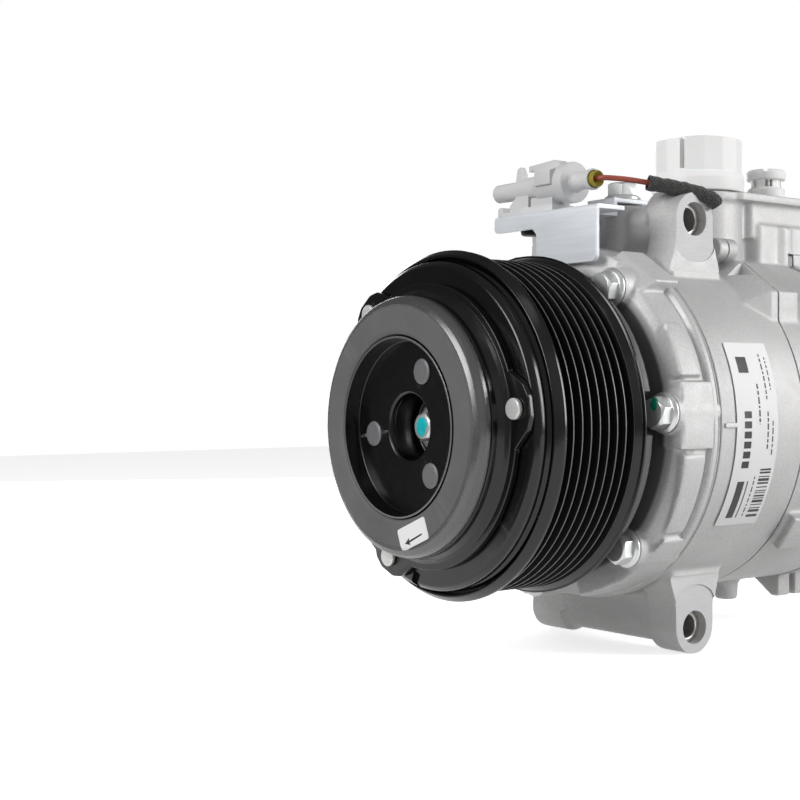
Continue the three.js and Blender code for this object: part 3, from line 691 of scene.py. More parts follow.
# A lighter grey for the cup's front rim.
LIGHT_CUP_RIM = machined("light_cup_rim", (0.2, 0.2, 0.2), 0.6, (0.3, 0.42))
SHOULDER = moulded("damper_shoulder", (0.045, 0.045, 0.046), (0.06, 0.06, 0.061), (0.24, 0.31), 0, 0.22, 1)
STEEL = machined("bearing_steel", (0.58, 0.58, 0.58), 1, (0.24, 0.36))
PLATE = machined("valve_plate_steel", (0.3, 0.3, 0.3), 0.3, (0.45, 0.6))
RIVET = machined("rivet_steel", (0.72, 0.72, 0.7), 0.5, (0.34, 0.5), (0.15, 1, 3.4), 520, 1)
RIVET_DARK = machined("dark_rivet", (0.17, 0.17, 0.175), 0.3, (0.42, 0.55))
ZINC = machined("zinc_steel", (0.66, 0.67, 0.665), 0.7, (0.26, 0.42), (1, 1, 1), 160)
ZINC_SHEET = machined("zinc_sheet", (0.8, 0.83, 0.87), 0.15, (0.36, 0.5), (0.3, 1, 6), 140)
COIL = cast_metal("coil_case", (0.03, 0.03, 0.032), (0.06, 0.06, 0.062), 0.5)
GREY = moulded("grey_plastic", (0.6, 0.6, 0.6), (0.66, 0.66, 0.66), (0.45, 0.6))
SEAL = moulded("yellow_seal", (0.2, 0.16, 0.012), (0.33, 0.27, 0.03), (0.35, 0.5))
BLACK_RUBBER = moulded("seal_rubber", (0.012, 0.012, 0.012), (0.025, 0.025, 0.025), (0.5, 0.65))
RED_WIRE = moulded("red_wire", (0.27, 0.055, 0.035), (0.36, 0.085, 0.055), (0.38, 0.5))
WOVEN = woven("woven_sleeve")
WHITE = moulded("white_plastic", (0.87, 0.87, 0.86), (0.91, 0.91, 0.9), (0.42, 0.55), 0.1, 0.03)
BRASS = machined("brass", (0.62, 0.45, 0.2), 1, (0.25, 0.38))
PAPER = moulded("label_paper", (0.84, 0.84, 0.83), (0.89, 0.89, 0.88), (0.5, 0.6), 0, 0.02)
INK = moulded("label_ink", (0.006, 0.006, 0.006), (0.014, 0.014, 0.014), (0.35, 0.45), 0, 0.02)
TEAL = moulded("paint_mark", (0, 0.36, 0.4), (0.01, 0.52, 0.56), (0.25, 0.4), 0, 0.1)
GREEN = moulded("green_mark", (0, 0.22, 0.14), (0.01, 0.32, 0.2), (0.3, 0.45), 0, 0.1)

CAD_LOOKS = {
    "bearing_steel": STEEL,
    "machined_aluminium": BORED,
    "coil_case": COIL,
    "seal_rubber": BLACK_RUBBER,
    "cast_aluminium": CAST,
    "black_paint": PAINT,
    "dark_rubber": RUBBER,
    "rivet_steel": RIVET,
    "dark_rivet": RIVET_DARK,
    "zinc_steel": ZINC,
    "grey_plastic": GREY,
    "yellow_seal": SEAL,
    "red_wire": RED_WIRE,
    "woven_sleeve": WOVEN,
    "white_plastic": WHITE,
    "brass": BRASS,
}
for entry in frame["record"]["subparts"]:
    held = frame["nodes"][entry["node"]].data.materials
    held.clear()
    held.append(CAD_LOOKS[entry["material_slot"]])


# ---------------------------------------------------------------- clutch
def make_pulley():
    pitch = 3.56
    crest = 0.22
    outline = [(-7.9, 53, 0.3), (-8.1, 53.9, 0.5), (-5.6, 55.6, 1), (-4.5, 55.6, 0.4)]
    for i in range(8):
        floor = i * pitch - pitch / 2
        outline += [
            (floor - pitch / 2 + crest, 53.5, 0.15),
            (floor - 0.25, 50.8, 0.3),
            (floor + 0.25, 50.8, 0.3),
            (floor + pitch / 2 - crest, 53.5, 0.15),
        ]
    outline += [
        (26.9, 54.9, 0.3), (27.2, 54.7, 0.1), (27.4, 55.5, 0.2), (28.2, 55.6, 0.4), (28.2, 47.6, 0.5),
        (-3.6, 47.6, 1), (-3.6, 31, 1), (19.5, 31, 0.4), (19.5, 27.7, 0.3), (-6, 27.7, 0.5),
        (-8.4, 30, 0.8), (-8.4, 50.8, 0.5), (-7.2, 52, 0.5), (-5.6, 52.2, 0.3), (-5.6, 52.7, 0.3),
    ]
    solid = spun(outline, segments=224, steps=4)

    def look_of(face):
        radius, y = from_axis(face), face.center.y
        if not (50 < radius < 53.7 and -3 < y < 27):
            return 0
        return 1 if radius > 53.44 and -0.7 < y < 26.8 else 2

    painted(solid, [PULLEY_PAINT, CREST, GROOVE], look_of)
    piece("pulley_piece", solid, "pulley_set", [], ["pulley"])


def make_bearing():
    for name, inner, outer in (("outer", 24.6, 27.4), ("inner", 17.5, 19.4)):
        ring = spun([(1, inner, 0.4), (1, outer, 0.5), (19, outer, 0.5), (19, inner, 0.4)])
        body = "pulley_set" if name == "outer" else "casing"
        piece("bearing_" + name, ring, body, [STEEL], ["pulley_bearing_" + name])


def make_hub_plate():
    collar = spun([
        (-20.3, 38.6, 0.2), (-20.3, 40.4, 0.2), (-20, 40.7, 0.3), (-18.2, 40.7, 1.5), (-16.3, 41.7, 1.2),
        (-15.5, 42.8, 0.1), (-15.05, 43, 0.3), (-15, 45, 0.35), (-13, 45, 0.3), (-13, 38.6, 0.3),
    ], segments=224)
    half_ear = [(40.6, -13.4), (43.6, -11.4, 3), (49.4, -6.9, 2), (51.1, -3.2, 3.6)]
    other_half = [(p[0], -p[1], *p[2:]) for p in reversed(half_ear)]
    for angle in EAR_ANGLES:
        plus(collar, turned_to(slab("y", half_ear + other_half, -15, -13, 0.3), angle))
    drilled(collar, 2.2, -16, -12, EAR_CIRCLE, EAR_ANGLES)
    less(collar, turned_to(block(45.8, 52, -14.9, -12, 10.9, 14.2), EAR_ANGLES[2]))
    piece("hub_plate_piece", collar, "armature_set", [PAINT], ["hub_plate"])


def make_armature():
    plate = spun([
        (-12.7, 19, 0.3), (-12.7, 50.3, 1.4), (-11.2, 51.7, 0.9), (-9.1, 51.8, 0.3), (-9.1, 19, 0.3),
    ], segments=224)
    drilled(plate, 2.2, -14, -9.5, EAR_CIRCLE, EAR_ANGLES)
    less(plate, turned_to(block(45.2, 50, -14, -11, 10.4, 13.8), EAR_ANGLES[2]))
    piece("armature_piece", plate, "armature_set", [PULLEY_PAINT], ["armature_plate"])


def make_damper():
    ring = spun([
        (-25.3, 28.9, 0.4), (-25.6, 30, 0.5), (-25.6, 36.9, 0.4), (-25.15, 37.4, 0.15),
        (-25.15, 37.7, 0.15), (-25.4, 38, 0.3), (-24.3, 39.9, 2), (-22.4, 40.7, 1.8), (-20.6, 40.8, 0.4),
        (-20.6, 38.2, 0.2), (-16, 38.1, 0.3), (-16, 28.5, 0.3), (-24.6, 28.5, 0.3),
    ], segments=224)
    painted(ring, [RUBBER, SHOULDER], lambda face: int(from_axis(face) > 37.8))
    piece("damper_piece", ring, "shaft_set", [], ["damper_ring"])


def make_cup():
    cup = spun([
        (-25.5, 27.5, 0.2), (-25.5, 28.2, 0.2), (-16.4, 28.2, 0.3), (-16.4, 26, 0.6), (-18.3, 25, 0.6),
        (-18.3, 10.3, 0.3), (-19.7, 10.3, 0.5), (-20.3, 11, 0.6), (-20.3, 27, 0.4),
    ], segments=192)
    drilled(cup, 4.25, -21, -20, CUP_CIRCLE, CUP_ANGLES, segments=48, edge=0.1)
    drilled(cup, 2.6, -22, -16, CUP_CIRCLE, CUP_ANGLES)
    # The cup's front rim is given a lighter grey than its black paint.
    painted(cup, [PAINT, LIGHT_CUP_RIM], lambda face: int(face.center.y < -25.3 and from_axis(face) > 27.6))
    piece("cup_piece", cup, "shaft_set", [], ["clutch_cup"])
    hub = spun([
        (-17.9, 10.8, 0.5), (-17.9, 24, 0.4), (-14.6, 24, 0.5), (-14.6, 15.6, 1.2), (-3.6, 15.6, 0.4),
        (-3.6, 7, 0.3), (-8.6, 7, 0.3), (-8.6, 10.8, 0.8),
    ], segments=128)
    drilled(hub, 2.6, -19, -14, CUP_CIRCLE, CUP_ANGLES)
    piece("hub_piece", hub, "shaft_set", [PAINT], ["inner_hub"])


def make_rivets():
    ear_head = [
        (-16.7, 0), (-16.7, 2.9, 0.3), (-16.3, 3.2, 0.2), (-15.3, 3.2, 0.2), (-15.3, 2, 0.2), (-10, 2, 0.2),
        (-10, 0),
    ]
    cup_head = [
        (-21, 0), (-21, 3.2, 0.4), (-20.7, 4, 0.35), (-20.2, 4.05, 0.2), (-20.2, 2.1, 0.2), (-16, 2.1, 0.2),
        (-16, 0),
    ]
    for i in range(3):
        head = spun(ear_head, "y", polar(EAR_CIRCLE, EAR_ANGLES[i]), 48)
        name = f"ear_rivet_piece_{i + 1}"
        piece(name, head, "armature_set", [RIVET], [f"ear_rivet_{i + 1}"])
        head = spun(cup_head, "y", polar(CUP_CIRCLE, CUP_ANGLES[i]), 48)
        name = f"cup_rivet_piece_{i + 1}"
        piece(name, head, "shaft_set", [RIVET_DARK], [f"cup_rivet_{i + 1}"])


def hex_head(axis, radius, front, rear, u, v, turn, dome=0.9):
    """A chamfered hexagon, its free end at front."""
    side = 1 if rear > front else -1
    corners = [TURN * k / 6 + turn for k in range(6)]
    points = [(u + radius * math.cos(a), v + radius * math.sin(a), 0.25) for a in corners]
    head = slab(axis, points, front, rear, corner=2)
    crown = spun([
        (front, 0), (front, radius * 0.78, 0.3), (front + side * dome, radius * 1.01, 0.4),
        (rear + side, radius * 1.01), (rear + side, 0),
    ], axis, (u, v), 64)
    return common(head, crown)


def make_hub_bolt():
    head = hex_head("y", 4.7, -15.3, -10.8, 0, 0, 0.3)
    rest = spun([
        (-11.2, 0), (-11.2, 6.2, 0.6), (-10.2, 8, 0.5), (-9, 8, 0.3), (-9, 2.9, 0.2), (8, 2.9, 0.2), (8, 0),
    ], "y", (0, 0), 64)
    plus(head, rest)
    piece("hub_bolt_piece", head, "shaft_set", [ZINC], ["hub_bolt"])
    dab = dollop((0, -15.25, 0), 3, 0.5, 5)
    piece("hub_bolt_mark", dab, "shaft_set", [TEAL])


def dollop(centre, radius, height, seed):
    """A flat irregular dab of paint facing -Y."""
    bm = bmesh.new()
    rng = random.Random(seed)
    phases = [rng.uniform(0, TURN) for _ in range(4)]
    rings = []
    for j in range(6):
        share = 1 - j / 5
        ring = []
        for k in range(40):
            a = TURN * k / 40
            wobble = 1 + sum(0.1 / (n + 1) * math.cos((n + 2) * a + phases[n]) for n in range(4))
            r = radius * share * wobble
            y = centre[1] - height * (1 - share**2.4)
            ring.append((centre[0] + r * math.cos(a), y, centre[2] + r * math.sin(a)))
        rings.append([bm.verts.new(p) for p in (ring if j < 5 else ring[:1])])
    bm.faces.new(rings[0])
    for low, high in zip(rings, rings[1:]):
        for k in range(40):
            m = (k + 1) % 40
            if len(high) == 1:
                bm.faces.new((low[k], low[m], high[0]))
            else:
                bm.faces.new((low[k], low[m], high[m], high[k]))
    return to_object("solid", bm)


def make_sticker():
    """Blank arrow sticker on the damper's face."""
    centre = Vector((9.2, -32.4))
    along = Vector((13.4, 5.2)).normalized()
    across = Vector((-along.y, along.x))

    def bent(u, v, lift):
        p = centre + along * u + across * v
        over = max(0, p.length - 36.2)
        return (p.x, -25.6 - lift + 0.11 * over**2.2, p.y)

    paper = [(-7.4, -3.5, 0.9), (7.4, -3.5, 0.9), (7.4, 3.5, 0.9), (-7.4, 3.5, 0.9)]
    arrow = [(-4.9, -1.6), (-2.3, -0.5), (-2.5, -1.3), (4.4, -1), (4.4, -1.5), (-2.5, -1.9), (-2.3, -2.7)]
    whole = merged([
        painted(bent_sheet(paper, (28, 14), 0.02, 0.14, bent, 6), [PAPER, INK], lambda face: 0),
        painted(bent_sheet(arrow, (8, 3), 0.15, 0.18, bent, 6), [PAPER, INK], lambda face: 1),
    ])
    piece("arrow_sticker", whole, "shaft_set", [])


def make_coil():
    coil = spun([
        (-2.6, 32, 0.5), (-2.6, 46.6, 0.8), (21.4, 46.6, 0.6), (21.4, 40, 0.5), (28.6, 40, 0.5),
        (28.6, 32.5, 0.5), (24.4, 18.2, 0.3), (22.6, 18.2, 0.3), (22.6, 32, 0.5),
    ])
    piece("field_coil_piece", coil, "casing", [COIL], ["field_coil"])


# ---------------------------------------------------------------- casing
def polar3(radius, degrees, y):
    x, z = polar(radius, degrees)
    return (x, y, z)


def sector(r0, r1, a0, a1, y0, y1, y0b=None, y1b=None):
    """A curved pad about the shaft between two radii and two angles.

    Its ends may slope: they are at y0, y1 at the first angle and at y0b, y1b at the last.
    """
    y0b = y0 if y0b is None else y0b
    y1b = y1 if y1b is None else y1b
    bm = bmesh.new()
    rings = []
    for k in range(15):
        t = k / 14
        a = a0 + (a1 - a0) * t
        low, high = y0 + (y0b - y0) * t, y1 + (y1b - y1) * t
        corners = ((r0, low), (r1, low), (r1, high), (r0, high))
        rings.append([bm.verts.new(polar3(r, a, y)) for r, y in corners])
    for one, two in zip(rings, rings[1:]):
        for k in range(4):
            m = (k + 1) % 4
            bm.faces.new((one[k], one[m], two[m], two[k]))
    bm.faces.new(rings[0])
    bm.faces.new(rings[-1])
    return to_object("solid", bm)


def trimmed(solid, low, high):
    """Machines a casting flat at two stations along the shaft."""
    return less(solid, block(-90, 90, low - 40, low, -120, 120), block(-90, 90, high, high + 40, -120, 120))


def make_front_housing():
    shell = spun([
        (-2, 0), (-2, 17.2, 0.6), (29.2, 17.2), (29.2, 41), (29.6, 51.6, 1.2), (34.4, 52.6, 1),
        (35.8, 42, 1.2), (39.8, 41, 1.5), (41.2, 54, 2), (43.2, 57.2, 2.5), (47, 57.7), (59, 57.7), (59, 0),
    ], segments=128)
    # the section of the ramp at the top, as (radius, station)
    ramp = ((62, 47), (57, 42), (52, 58), (62, 58))
    parts = [shell]
    for angle in BOLT_ANGLES:
        parts.append(rod("y", 6.5, 37.5, 58, *polar(BOLT_CIRCLE, angle)))
        parts.append(rod("y", 8, 41, 58, *polar(BOLT_CIRCLE - 9, angle), segments=32))
    parts += [
        sector(50, 59.4, 33.2, 15.4, 41.6, 49, 41.2, 50.6),
        sector(50, 59.4, 13.6, -6.8, 40.6, 55, 39.6, 54),
        sector(50, 58.9, -8.6, -35.5, 42, 51.6, 43.5, 51.8),
        sector(50, 59.4, -37.6, -46, 44.8, 56, 41.4, 56),
        sector(50, 59.4, -46, -60, 41.4, 56, 41.2, 56),
        sector(48, 58.9, -60, -72, 41.2, 56, 34.5, 56),
        sector(50, 59.4, 212, 250, 43, 56),
        sector(50, 59.4, 150, 178, 43, 53, 43, 56),
        sector(50, 59.6, 62, 82, 43, 56),
        wedge(*([polar3(r, angle, y) for r, y in ramp] for angle in (66, 48))),
    ]
    body = cast(parts, 0.62)
    less(body, block(-90, 90, FRONT_SEAM - 0.2, FRONT_SEAM + 39.8, -120, 120))
    drilled(body, 6.9, 24, 38.7, BOLT_CIRCLE, BOLT_ANGLES, segments=64, edge=0.4)
    drilled(body, 4.2, 38, 60, BOLT_CIRCLE, BOLT_ANGLES)
    bore = spun([
        (-4, 0), (-4, 12.6), (24, 12.6), (24, 9.4), (36, 9.4), (36, 13.4), (50.2, 13.4), (50.2, 23.4),
        (48.5, 24.6), (48.5, 47.5), (60, 47.5), (60, 0),
    ], segments=128)
    less(body, bore)
    less(body, block(-30, 30, -6, 5, -30, 30))
    tip = spun([(-2, 12.6, 0.4), (-2, 17.2, 0.5), (6, 17.2), (6, 12.6)], segments=128)
    rim = spun([
        (52.8, 50), (52.8, 57.4), (53.5, 59.1, 0.4), (54.2, 59.45, 0.3), (55.6, 59.45, 0.25),
        (55.95, 59, 0.1), (56.3, 59.45, 0.2), (56.8, 59.2, 0.3), (56.8, 50),
    ], segments=160)
    plus(body, tip, rim)
    piece("front_housing_piece", body, "casing", [FRONT_CAST_SHADED], ["front_housing"])


def make_main_housing():
    shell = spun([(55, 0), (55, 59.2), (100, 59.2), (100, 0)])
    parts = [shell]
    for side in (1, -1):
        top = BOSS_Z * side

        def web(points, x0, x1):
            """A web below an ear, from points of (place beside the hole, height)."""
            outline = [(BOSS_Y + y, top if z is None else z * side) for y, z in points]
            return slab("x", outline, x0, x1)

        # near ear, far ear and the barrel between them
        parts += [
            rod("x", 8.8, 20.5, 34.8, BOSS_Y, top, segments=64),
            rod("x", 8.2, -39.6, -24, BOSS_Y, top, segments=64),
            rod("x", 6.6 if side > 0 else 6.5, -30, 26, BOSS_Y, top),
            web([
                (-8.8, None), (8.8, None), (8.9, 60), (11.3, 52), (11.3, 34), (-11.9, 34), (-11.9, 52),
                (-9, 60),
            ], 20.5, 34.8),
            web([(-8, None), (8, None), (11, 50), (11, 40), (-11, 40), (-11, 50)], -38.6, -22),
            web([(-6.4, None), (6.4, None), (7, 50), (-7, 50)], -30, 24),
        ]
    parts += [
        # hump on the upper barrel and the bracket's screw boss
        rod("x", 6.6, 18.6, 26.5, BOSS_Y - 1.5, 71, segments=40),
        rod("z", 7, 60, 74.8, 2, 70.5, segments=48),
        # lower boss: web that carries the far half on the casing
        slab("x", [(62, -50), (84, -50), (80, -66), (66, -66)], -38, -20),
        rod("y", 3.9, 86, 95.5, 29.5, 59, segments=32),
    ]
    parts.append(wedge([(x * 0.9, 84, z * 0.9) for x, z in LUG], [(x, 94.5, z) for x, z in LUG]))
    parts.append(slab("y", LUG, 94.8, 100))
    body = cast(parts, 0.7)
    trimmed(body, FRONT_SEAM + 0.2, BLOCK_SEAM - 0.2)
    less(body, spun([(50, 0), (50, 47.5), (110, 47.5), (110, 0)], segments=128))
    rim = spun([
        (57.15, 50), (57.15, 59.2, 0.2), (57.4, 59.45, 0.2), (59.3, 59.45, 0.25), (59.7, 59.1, 0.2),
        (60, 55), (60, 50),
    ])
    plus(body, rim, slab("z", [(57.6, 58.6), (60.1, 58.6), (60.1, 64.2), (57.6, 64.2)], -0.7, 0.9, 0.3))
    for side, low, high in ((1, 50, 90), (-1, -90, -50)):
        less(
            body,
            block(34, 60, 50, 96, low, high),
            block(-60, -39, 50, 96, low, high),
            rod("x", 5.6, -60, 60, BOSS_Y, BOSS_Z * side, segments=64),
            # spot-faced ends, a shade deeper than the web below them
            obround_tool(33.55, 40, side),
        )
    less(body, block(24, 34, 89.9, 90.7, 55, 64))
    drilled(body, 4.2, 50, 104, BOLT_CIRCLE, BOLT_ANGLES)
    # The bores run on past the seam, so that each piston can come forward.
    drilled(body, 14.9, 79.5, 104, BORE_CIRCLE, BORE_ANGLES, segments=48)

    def milled(face):
        x, z = face.center.x, face.center.z
        return int(abs(abs(face.normal.x) - 1) < 1e-3 and abs(z) > 55 and (x > 33 or x < -38.5))

    painted(body, [CAST, MILLED], milled)
    piece("main_housing_piece", body, "casing", [], ["main_housing"])


def obround_tool(x0, x1, side):
    """The milled pad round a mounting hole: round at both ends."""
    arc = [math.pi * k / 24 for k in range(25)]
    top, low = BOSS_Z * side, (BOSS_Z - 8.2) * side
    outline = [(BOSS_Y + 9.4 * math.cos(a), top + side * 9.4 * math.sin(a)) for a in arc]
    outline += [(BOSS_Y - 9.4 * math.cos(a), low - side * 6.2 * math.sin(a)) for a in arc]
    return slab("x", outline, x0, x1)


def make_bushes():
    for name, side in (("upper", 1), ("lower", -1)):
        bush = spun([
            (-34.5, 3.8, 0.6), (-34.5, 5.3, 0.3), (30.3, 5.3, 0.3), (30.3, 3.8, 0.5),
        ], "x", (BOSS_Y, BOSS_Z * side), 64)
        piece(name + "_bush_piece", bush, "casing", [BORED], [name + "_mount_bush"])


def make_cylinder_block():
    shell = spun([(94, 0), (94, 59.1), (142, 59.1), (142, 0)])
    parts = [
        shell,
        slab("y", LUG, 94, 108),
        sector(52, 63, -30.5, -43.5, 99.6, 126, 100.4, 126),
        # tower and foot under the ports, then the plate round them
        rod("z", 16.2, 52, 80, 0, LARGE_PORT_Y, segments=96),
        rod("z", 17.4, 78.8, 81.8, 0, LARGE_PORT_Y, segments=96),
        slab("z", [(-18, 112, 3), (19, 112, 3), (19, 170, 4), (-18, 170, 4)], 78.8, 81.8),
        slab("z", [(-15, 104, 3), (12, 119, 3), (16, 122, 3), (16, 165, 3), (-15, 165, 3)], 66, 80),
        slab("z", [(-15, 104, 3), (10, 121, 3), (17.2, 125, 3), (17.2, 166, 3), (-15, 166, 3)], 45, 71),
        slab("z", [(12, 133), (16.8, 133.6, 1), (18.6, 138, 1), (18.6, 142), (12, 142)], 40, 70.8),
        spun([
            (-66.4, 0), (-66.4, 4.1, 0.8), (-60.5, 4.4), (-54, 8.5), (-50, 8.5), (-50, 0),
        ], "z", (1, 125.5), 48),
        rod("z", 5, -64, -50, -20, 118, segments=40),
        sector(50, 59.4, 172, 190, 100, 139),
        sector(50, 60.2, 226, 236, 100, 139),
    ]
    for angle in BOLT_ANGLES[3:6]:
        parts.append(rod("y", 8.4, 94, 142, *polar(BOLT_CIRCLE, angle)))
    body = cast(parts, 0.72)
    seam = BLOCK_SEAM + 0.2
    front = slab("x", [(40, -120), (40, 120), (80, 120), (80, 62.6), (seam, 62.6), (seam, -120)], -90, 90)
    less(body, front, block(-90, 90, VALVE_SEAM - 0.2, 210, -120, 61.2))
    less(body, spun([(97, 58.3), (97, 75), (98.3, 75), (98.3, 58.3)]))
    drilled(body, 14.8, 90, 150, BORE_CIRCLE, BORE_ANGLES, segments=48)
    drilled(body, 4.2, 90, 150, BOLT_CIRCLE, BOLT_ANGLES, segments=24)
    less(
        body,
        spun([(90, 0), (90, 13.4), (107, 13.4), (107, 12.4), (131, 12.4), (131, 0)], segments=64),
        rod("z", 9, 60, 92, 0, LARGE_PORT_Y),
        rod("z", 5, 66, 92, 0, SMALL_PORT_Y, segments=32),
    )
    piece("cylinder_block_piece", body, "casing", [CAST], ["cylinder_block"])


def make_valve_plate():
    front, rear = VALVE_SEAM + 0.15, HEAD_SEAM - 0.15
    plate = spun([(front, 0), (front, 59.3, 0.3), (rear, 59.3, 0.3), (rear, 0)])
    plus(plate, slab("y", [(-14.5, 50), (-14.5, 60.8, 1), (17.2, 60.8, 1), (17.2, 50)], front, rear))
    drilled(plate, 4.2, 130, 150, BOLT_CIRCLE, BOLT_ANGLES, segments=24)
    drilled(plate, 2.6, 130, 150, 30.5, BORE_ANGLES, segments=20)
    drilled(plate, 3.4, 130, 150, 41.5, BORE_ANGLES, segments=20)
    piece("valve_plate_piece", plate, "casing", [PLATE], ["valve_plate"])


def make_rear_housing():
    shell = spun([
        (140, 0), (140, 59.2), (146, 59.2), (148, 58.2), (166, 58.2, 4), (174, 54, 6), (177.6, 45, 3),
        (177.6, 0),
    ])
    parts = [shell]
    for angle in BOLT_ANGLES:
        parts.append(rod("y", 7.6, 140, 165, *polar(BOLT_CIRCLE + 0.2, angle), segments=40))
        rib = slab("z", [(12, 170), (50, 158), (50, 173), (44, 179), (12, 179)], -1.6, 1.6)
        parts.append(turned_to(rib, angle))
    parts += [
        rod("y", 13.6, 155, 183.6, *CONTROL_VALVE, segments=64),
        slab("z", [(-14.5, 140), (17.6, 140), (17.6, 168, 4), (12, 172, 4), (-14.5, 172, 4)], 45, 62),
        slab("y", [(-6, -50), (-6, -57), (7, -66.4, 1), (10.7, -66.4, 0.8), (10.7, -50)], 143.6, 150.6),
        slab("y", [(-6, -50), (-6, -57), (4, -66.4, 1), (10.7, -66.4, 0.8), (10.7, -50)], 153.4, 163),
        rod("y", 11, 160, 181, 0, 22),
        rod("x", 7.6, 44, 60, *RELIEF_VALVE),
    ]
    body = cast(parts, 0.75)
    less(body, block(-90, 90, 110, HEAD_SEAM + 0.2, -120, 120), block(-60, 60, 110, 190, 60.9, 90))
    less(
        body,
        # suction and discharge chambers, then the seats of the two valves
        spun([(141, 0), (141, 33), (160, 33), (160, 0)], segments=96),
        spun([(141, 36.5), (141, 46.5), (164, 46.5), (164, 36.5)], segments=96),
        rod("y", 9.4, 166, 190, *CONTROL_VALVE, edge=0.4),
        rod("x", 4.3, 50, 72, *RELIEF_VALVE, segments=32),
    )
    drilled(body, 4.2, 140, 164, BOLT_CIRCLE, BOLT_ANGLES, segments=24)
    piece("rear_housing_piece", body, "casing", [CAST], ["rear_housing"])


def make_through_bolts():
    for i, angle in enumerate(BOLT_ANGLES):
        x, z = polar(BOLT_CIRCLE, angle)
        head = hex_head("y", 5.2, 32.9, 37.7, x, z, 0.35 + i * 0.9)
        rest = spun([
            (36.8, 0), (36.8, 5.4, 0.6), (37.7, 6.4, 0.4), (38.5, 6.4, 0.3), (38.5, 3.8, 0.2),
            (161, 3.8, 0.5), (161, 0),
        ], "y", (x, z), 56)
        plus(head, rest)
        piece(f"through_bolt_piece_{i + 1}", head, "casing", [ZINC], [f"through_bolt_{i + 1}"])
    x, z = polar(BOLT_CIRCLE, BOLT_ANGLES[0])
    piece("bolt_mark", dollop((x + 0.8, 33.1, z + 2.4), 2.2, 0.35, 11), "casing", [GREEN])


def make_label():
    """Blank service label on the casing, with plain bars in place of print."""
    radius = BODY_R + 0.1
    top, length, low_y, width = 26.2, 61.5, 64.2, 19.8

    def bent(s, t, lift):
        x, z = polar(radius + lift, top - math.degrees(s / radius))
        return (x, low_y + t, z)

    def patch(s0, s1, t0, t1, low, high, corner=0.0):
        outline = [(s0, t0, corner), (s1, t0, corner), (s1, t1, corner), (s0, t1, corner)]
        return bent_sheet(outline, (int(s1 - s0), 1), low, high, bent, 4)

    rng = random.Random(7)
    bars = []
    start = 41.5
    while start < 58.2:
        wide = rng.choice((0.35, 0.6, 0.95))
        bars.append((start, start + wide, 13.2, 18.4))
        start += wide + rng.choice((0.4, 0.6, 0.9))
    rows = (
        (10.6, 14, 27, 0.7), (14.6, 4, 19, 0.6), (17, 5, 16, 0.5), (14.6, 23, 35, 0.6), (17, 26, 37, 0.5),
        (10.9, 44, 58, 0.5),
    )
    for low, start, end, thick in rows:
        while start < end:
            wide = rng.uniform(0.7, 2.4)
            bars.append((start, min(start + wide, end), low, low + thick))
            start += wide + 0.55
    for k in range(6):
        bars.append((22.8 + k * 3.2, 25 + k * 3.2, 3.6, 7))
    bars += [(5, 10.4, 3.4, 8.2), (45.5, 58.5, 3.4, 6.6), (45.5, 58.5, 8, 8.5)]
    sheet = patch(0, length, 0, width, 0.02, 0.16, 0.8)
    print_bars = merged([patch(a, b, c, d, 0.17, 0.2) for a, b, c, d in bars])
    painted(sheet, [PAPER, INK], lambda face: 0)
    painted(print_bars, [PAPER, INK], lambda face: 1)
    piece("service_label", merged([sheet, print_bars]), "casing", [])


# ---------------------------------------------------------------- pieces on top
def make_bracket():
    outline = [(-29, 70.4), (-29, 66, 1.5), (-9, 66, 1.5), (-7, 64, 1), (-7, 53, 2.2)]
    upright = slab("y", outline + [(22.4, 53, 2.2), (22.4, 70.4)], 38.6, 40.2, 0.25)
    quarter = [math.pi / 2 * k / 8 for k in range(9)]
    bend = [(40.2 - 1.6 * math.cos(a), 70.2 + 1.6 * math.sin(a)) for a in quarter]
    flange = slab("x", bend + [(51.6, 71.8), (51.6, 70.2), (40.2, 70.2)], -29, 22.4, 0.2)
    strap = slab("z", [(-1, 50.4), (9.5, 50.4), (9.5, 60.9), (-1, 60.9)], 70.2, 71.8, 0.2)
    riser = slab("y", [(-1, 70.3), (9.5, 70.3), (9.5, 76.4), (-1, 76.4)], 59.4, 61, 0.2)
    tab = slab("z", [(-5, 59.5, 2), (9.5, 59.5), (9.5, 79, 3), (-5, 79, 3)], 75, 76.5, 0.25)
    plus(upright, flange, strap, riser, tab)
    less(upright, rod("z", 3.4, 72.5, 80, 2, 70.5))
    less(upright, rod("z", 3.2, 68, 74, -22, 46), rod("z", 3.2, 68, 74, -8, 46))
    piece("bracket_piece", upright, "casing", [ZINC_SHEET], ["connector_bracket"])
    nub = spun([(64.8, 0), (64.8, 3.7, 1), (67.2, 4, 0.5), (70, 3, 0.4), (70, 0)], "z", (-17.5, 46), 40)
    piece("bracket_clip", nub, "casing", [BLACK_RUBBER])
    head = hex_head("z", 5.6, 82.8, 78.4, 2, 70.5, 0.25)
    washer = spun([
        (76.7, 0), (76.7, 6.4, 0.3), (77.7, 6.4, 0.3), (78.6, 5, 0.3), (78.6, 0),
    ], "z", (2, 70.5), 56)
    plus(head, washer)
    piece("bracket_bolt_piece", head, "casing", [ZINC], ["bracket_bolt"])


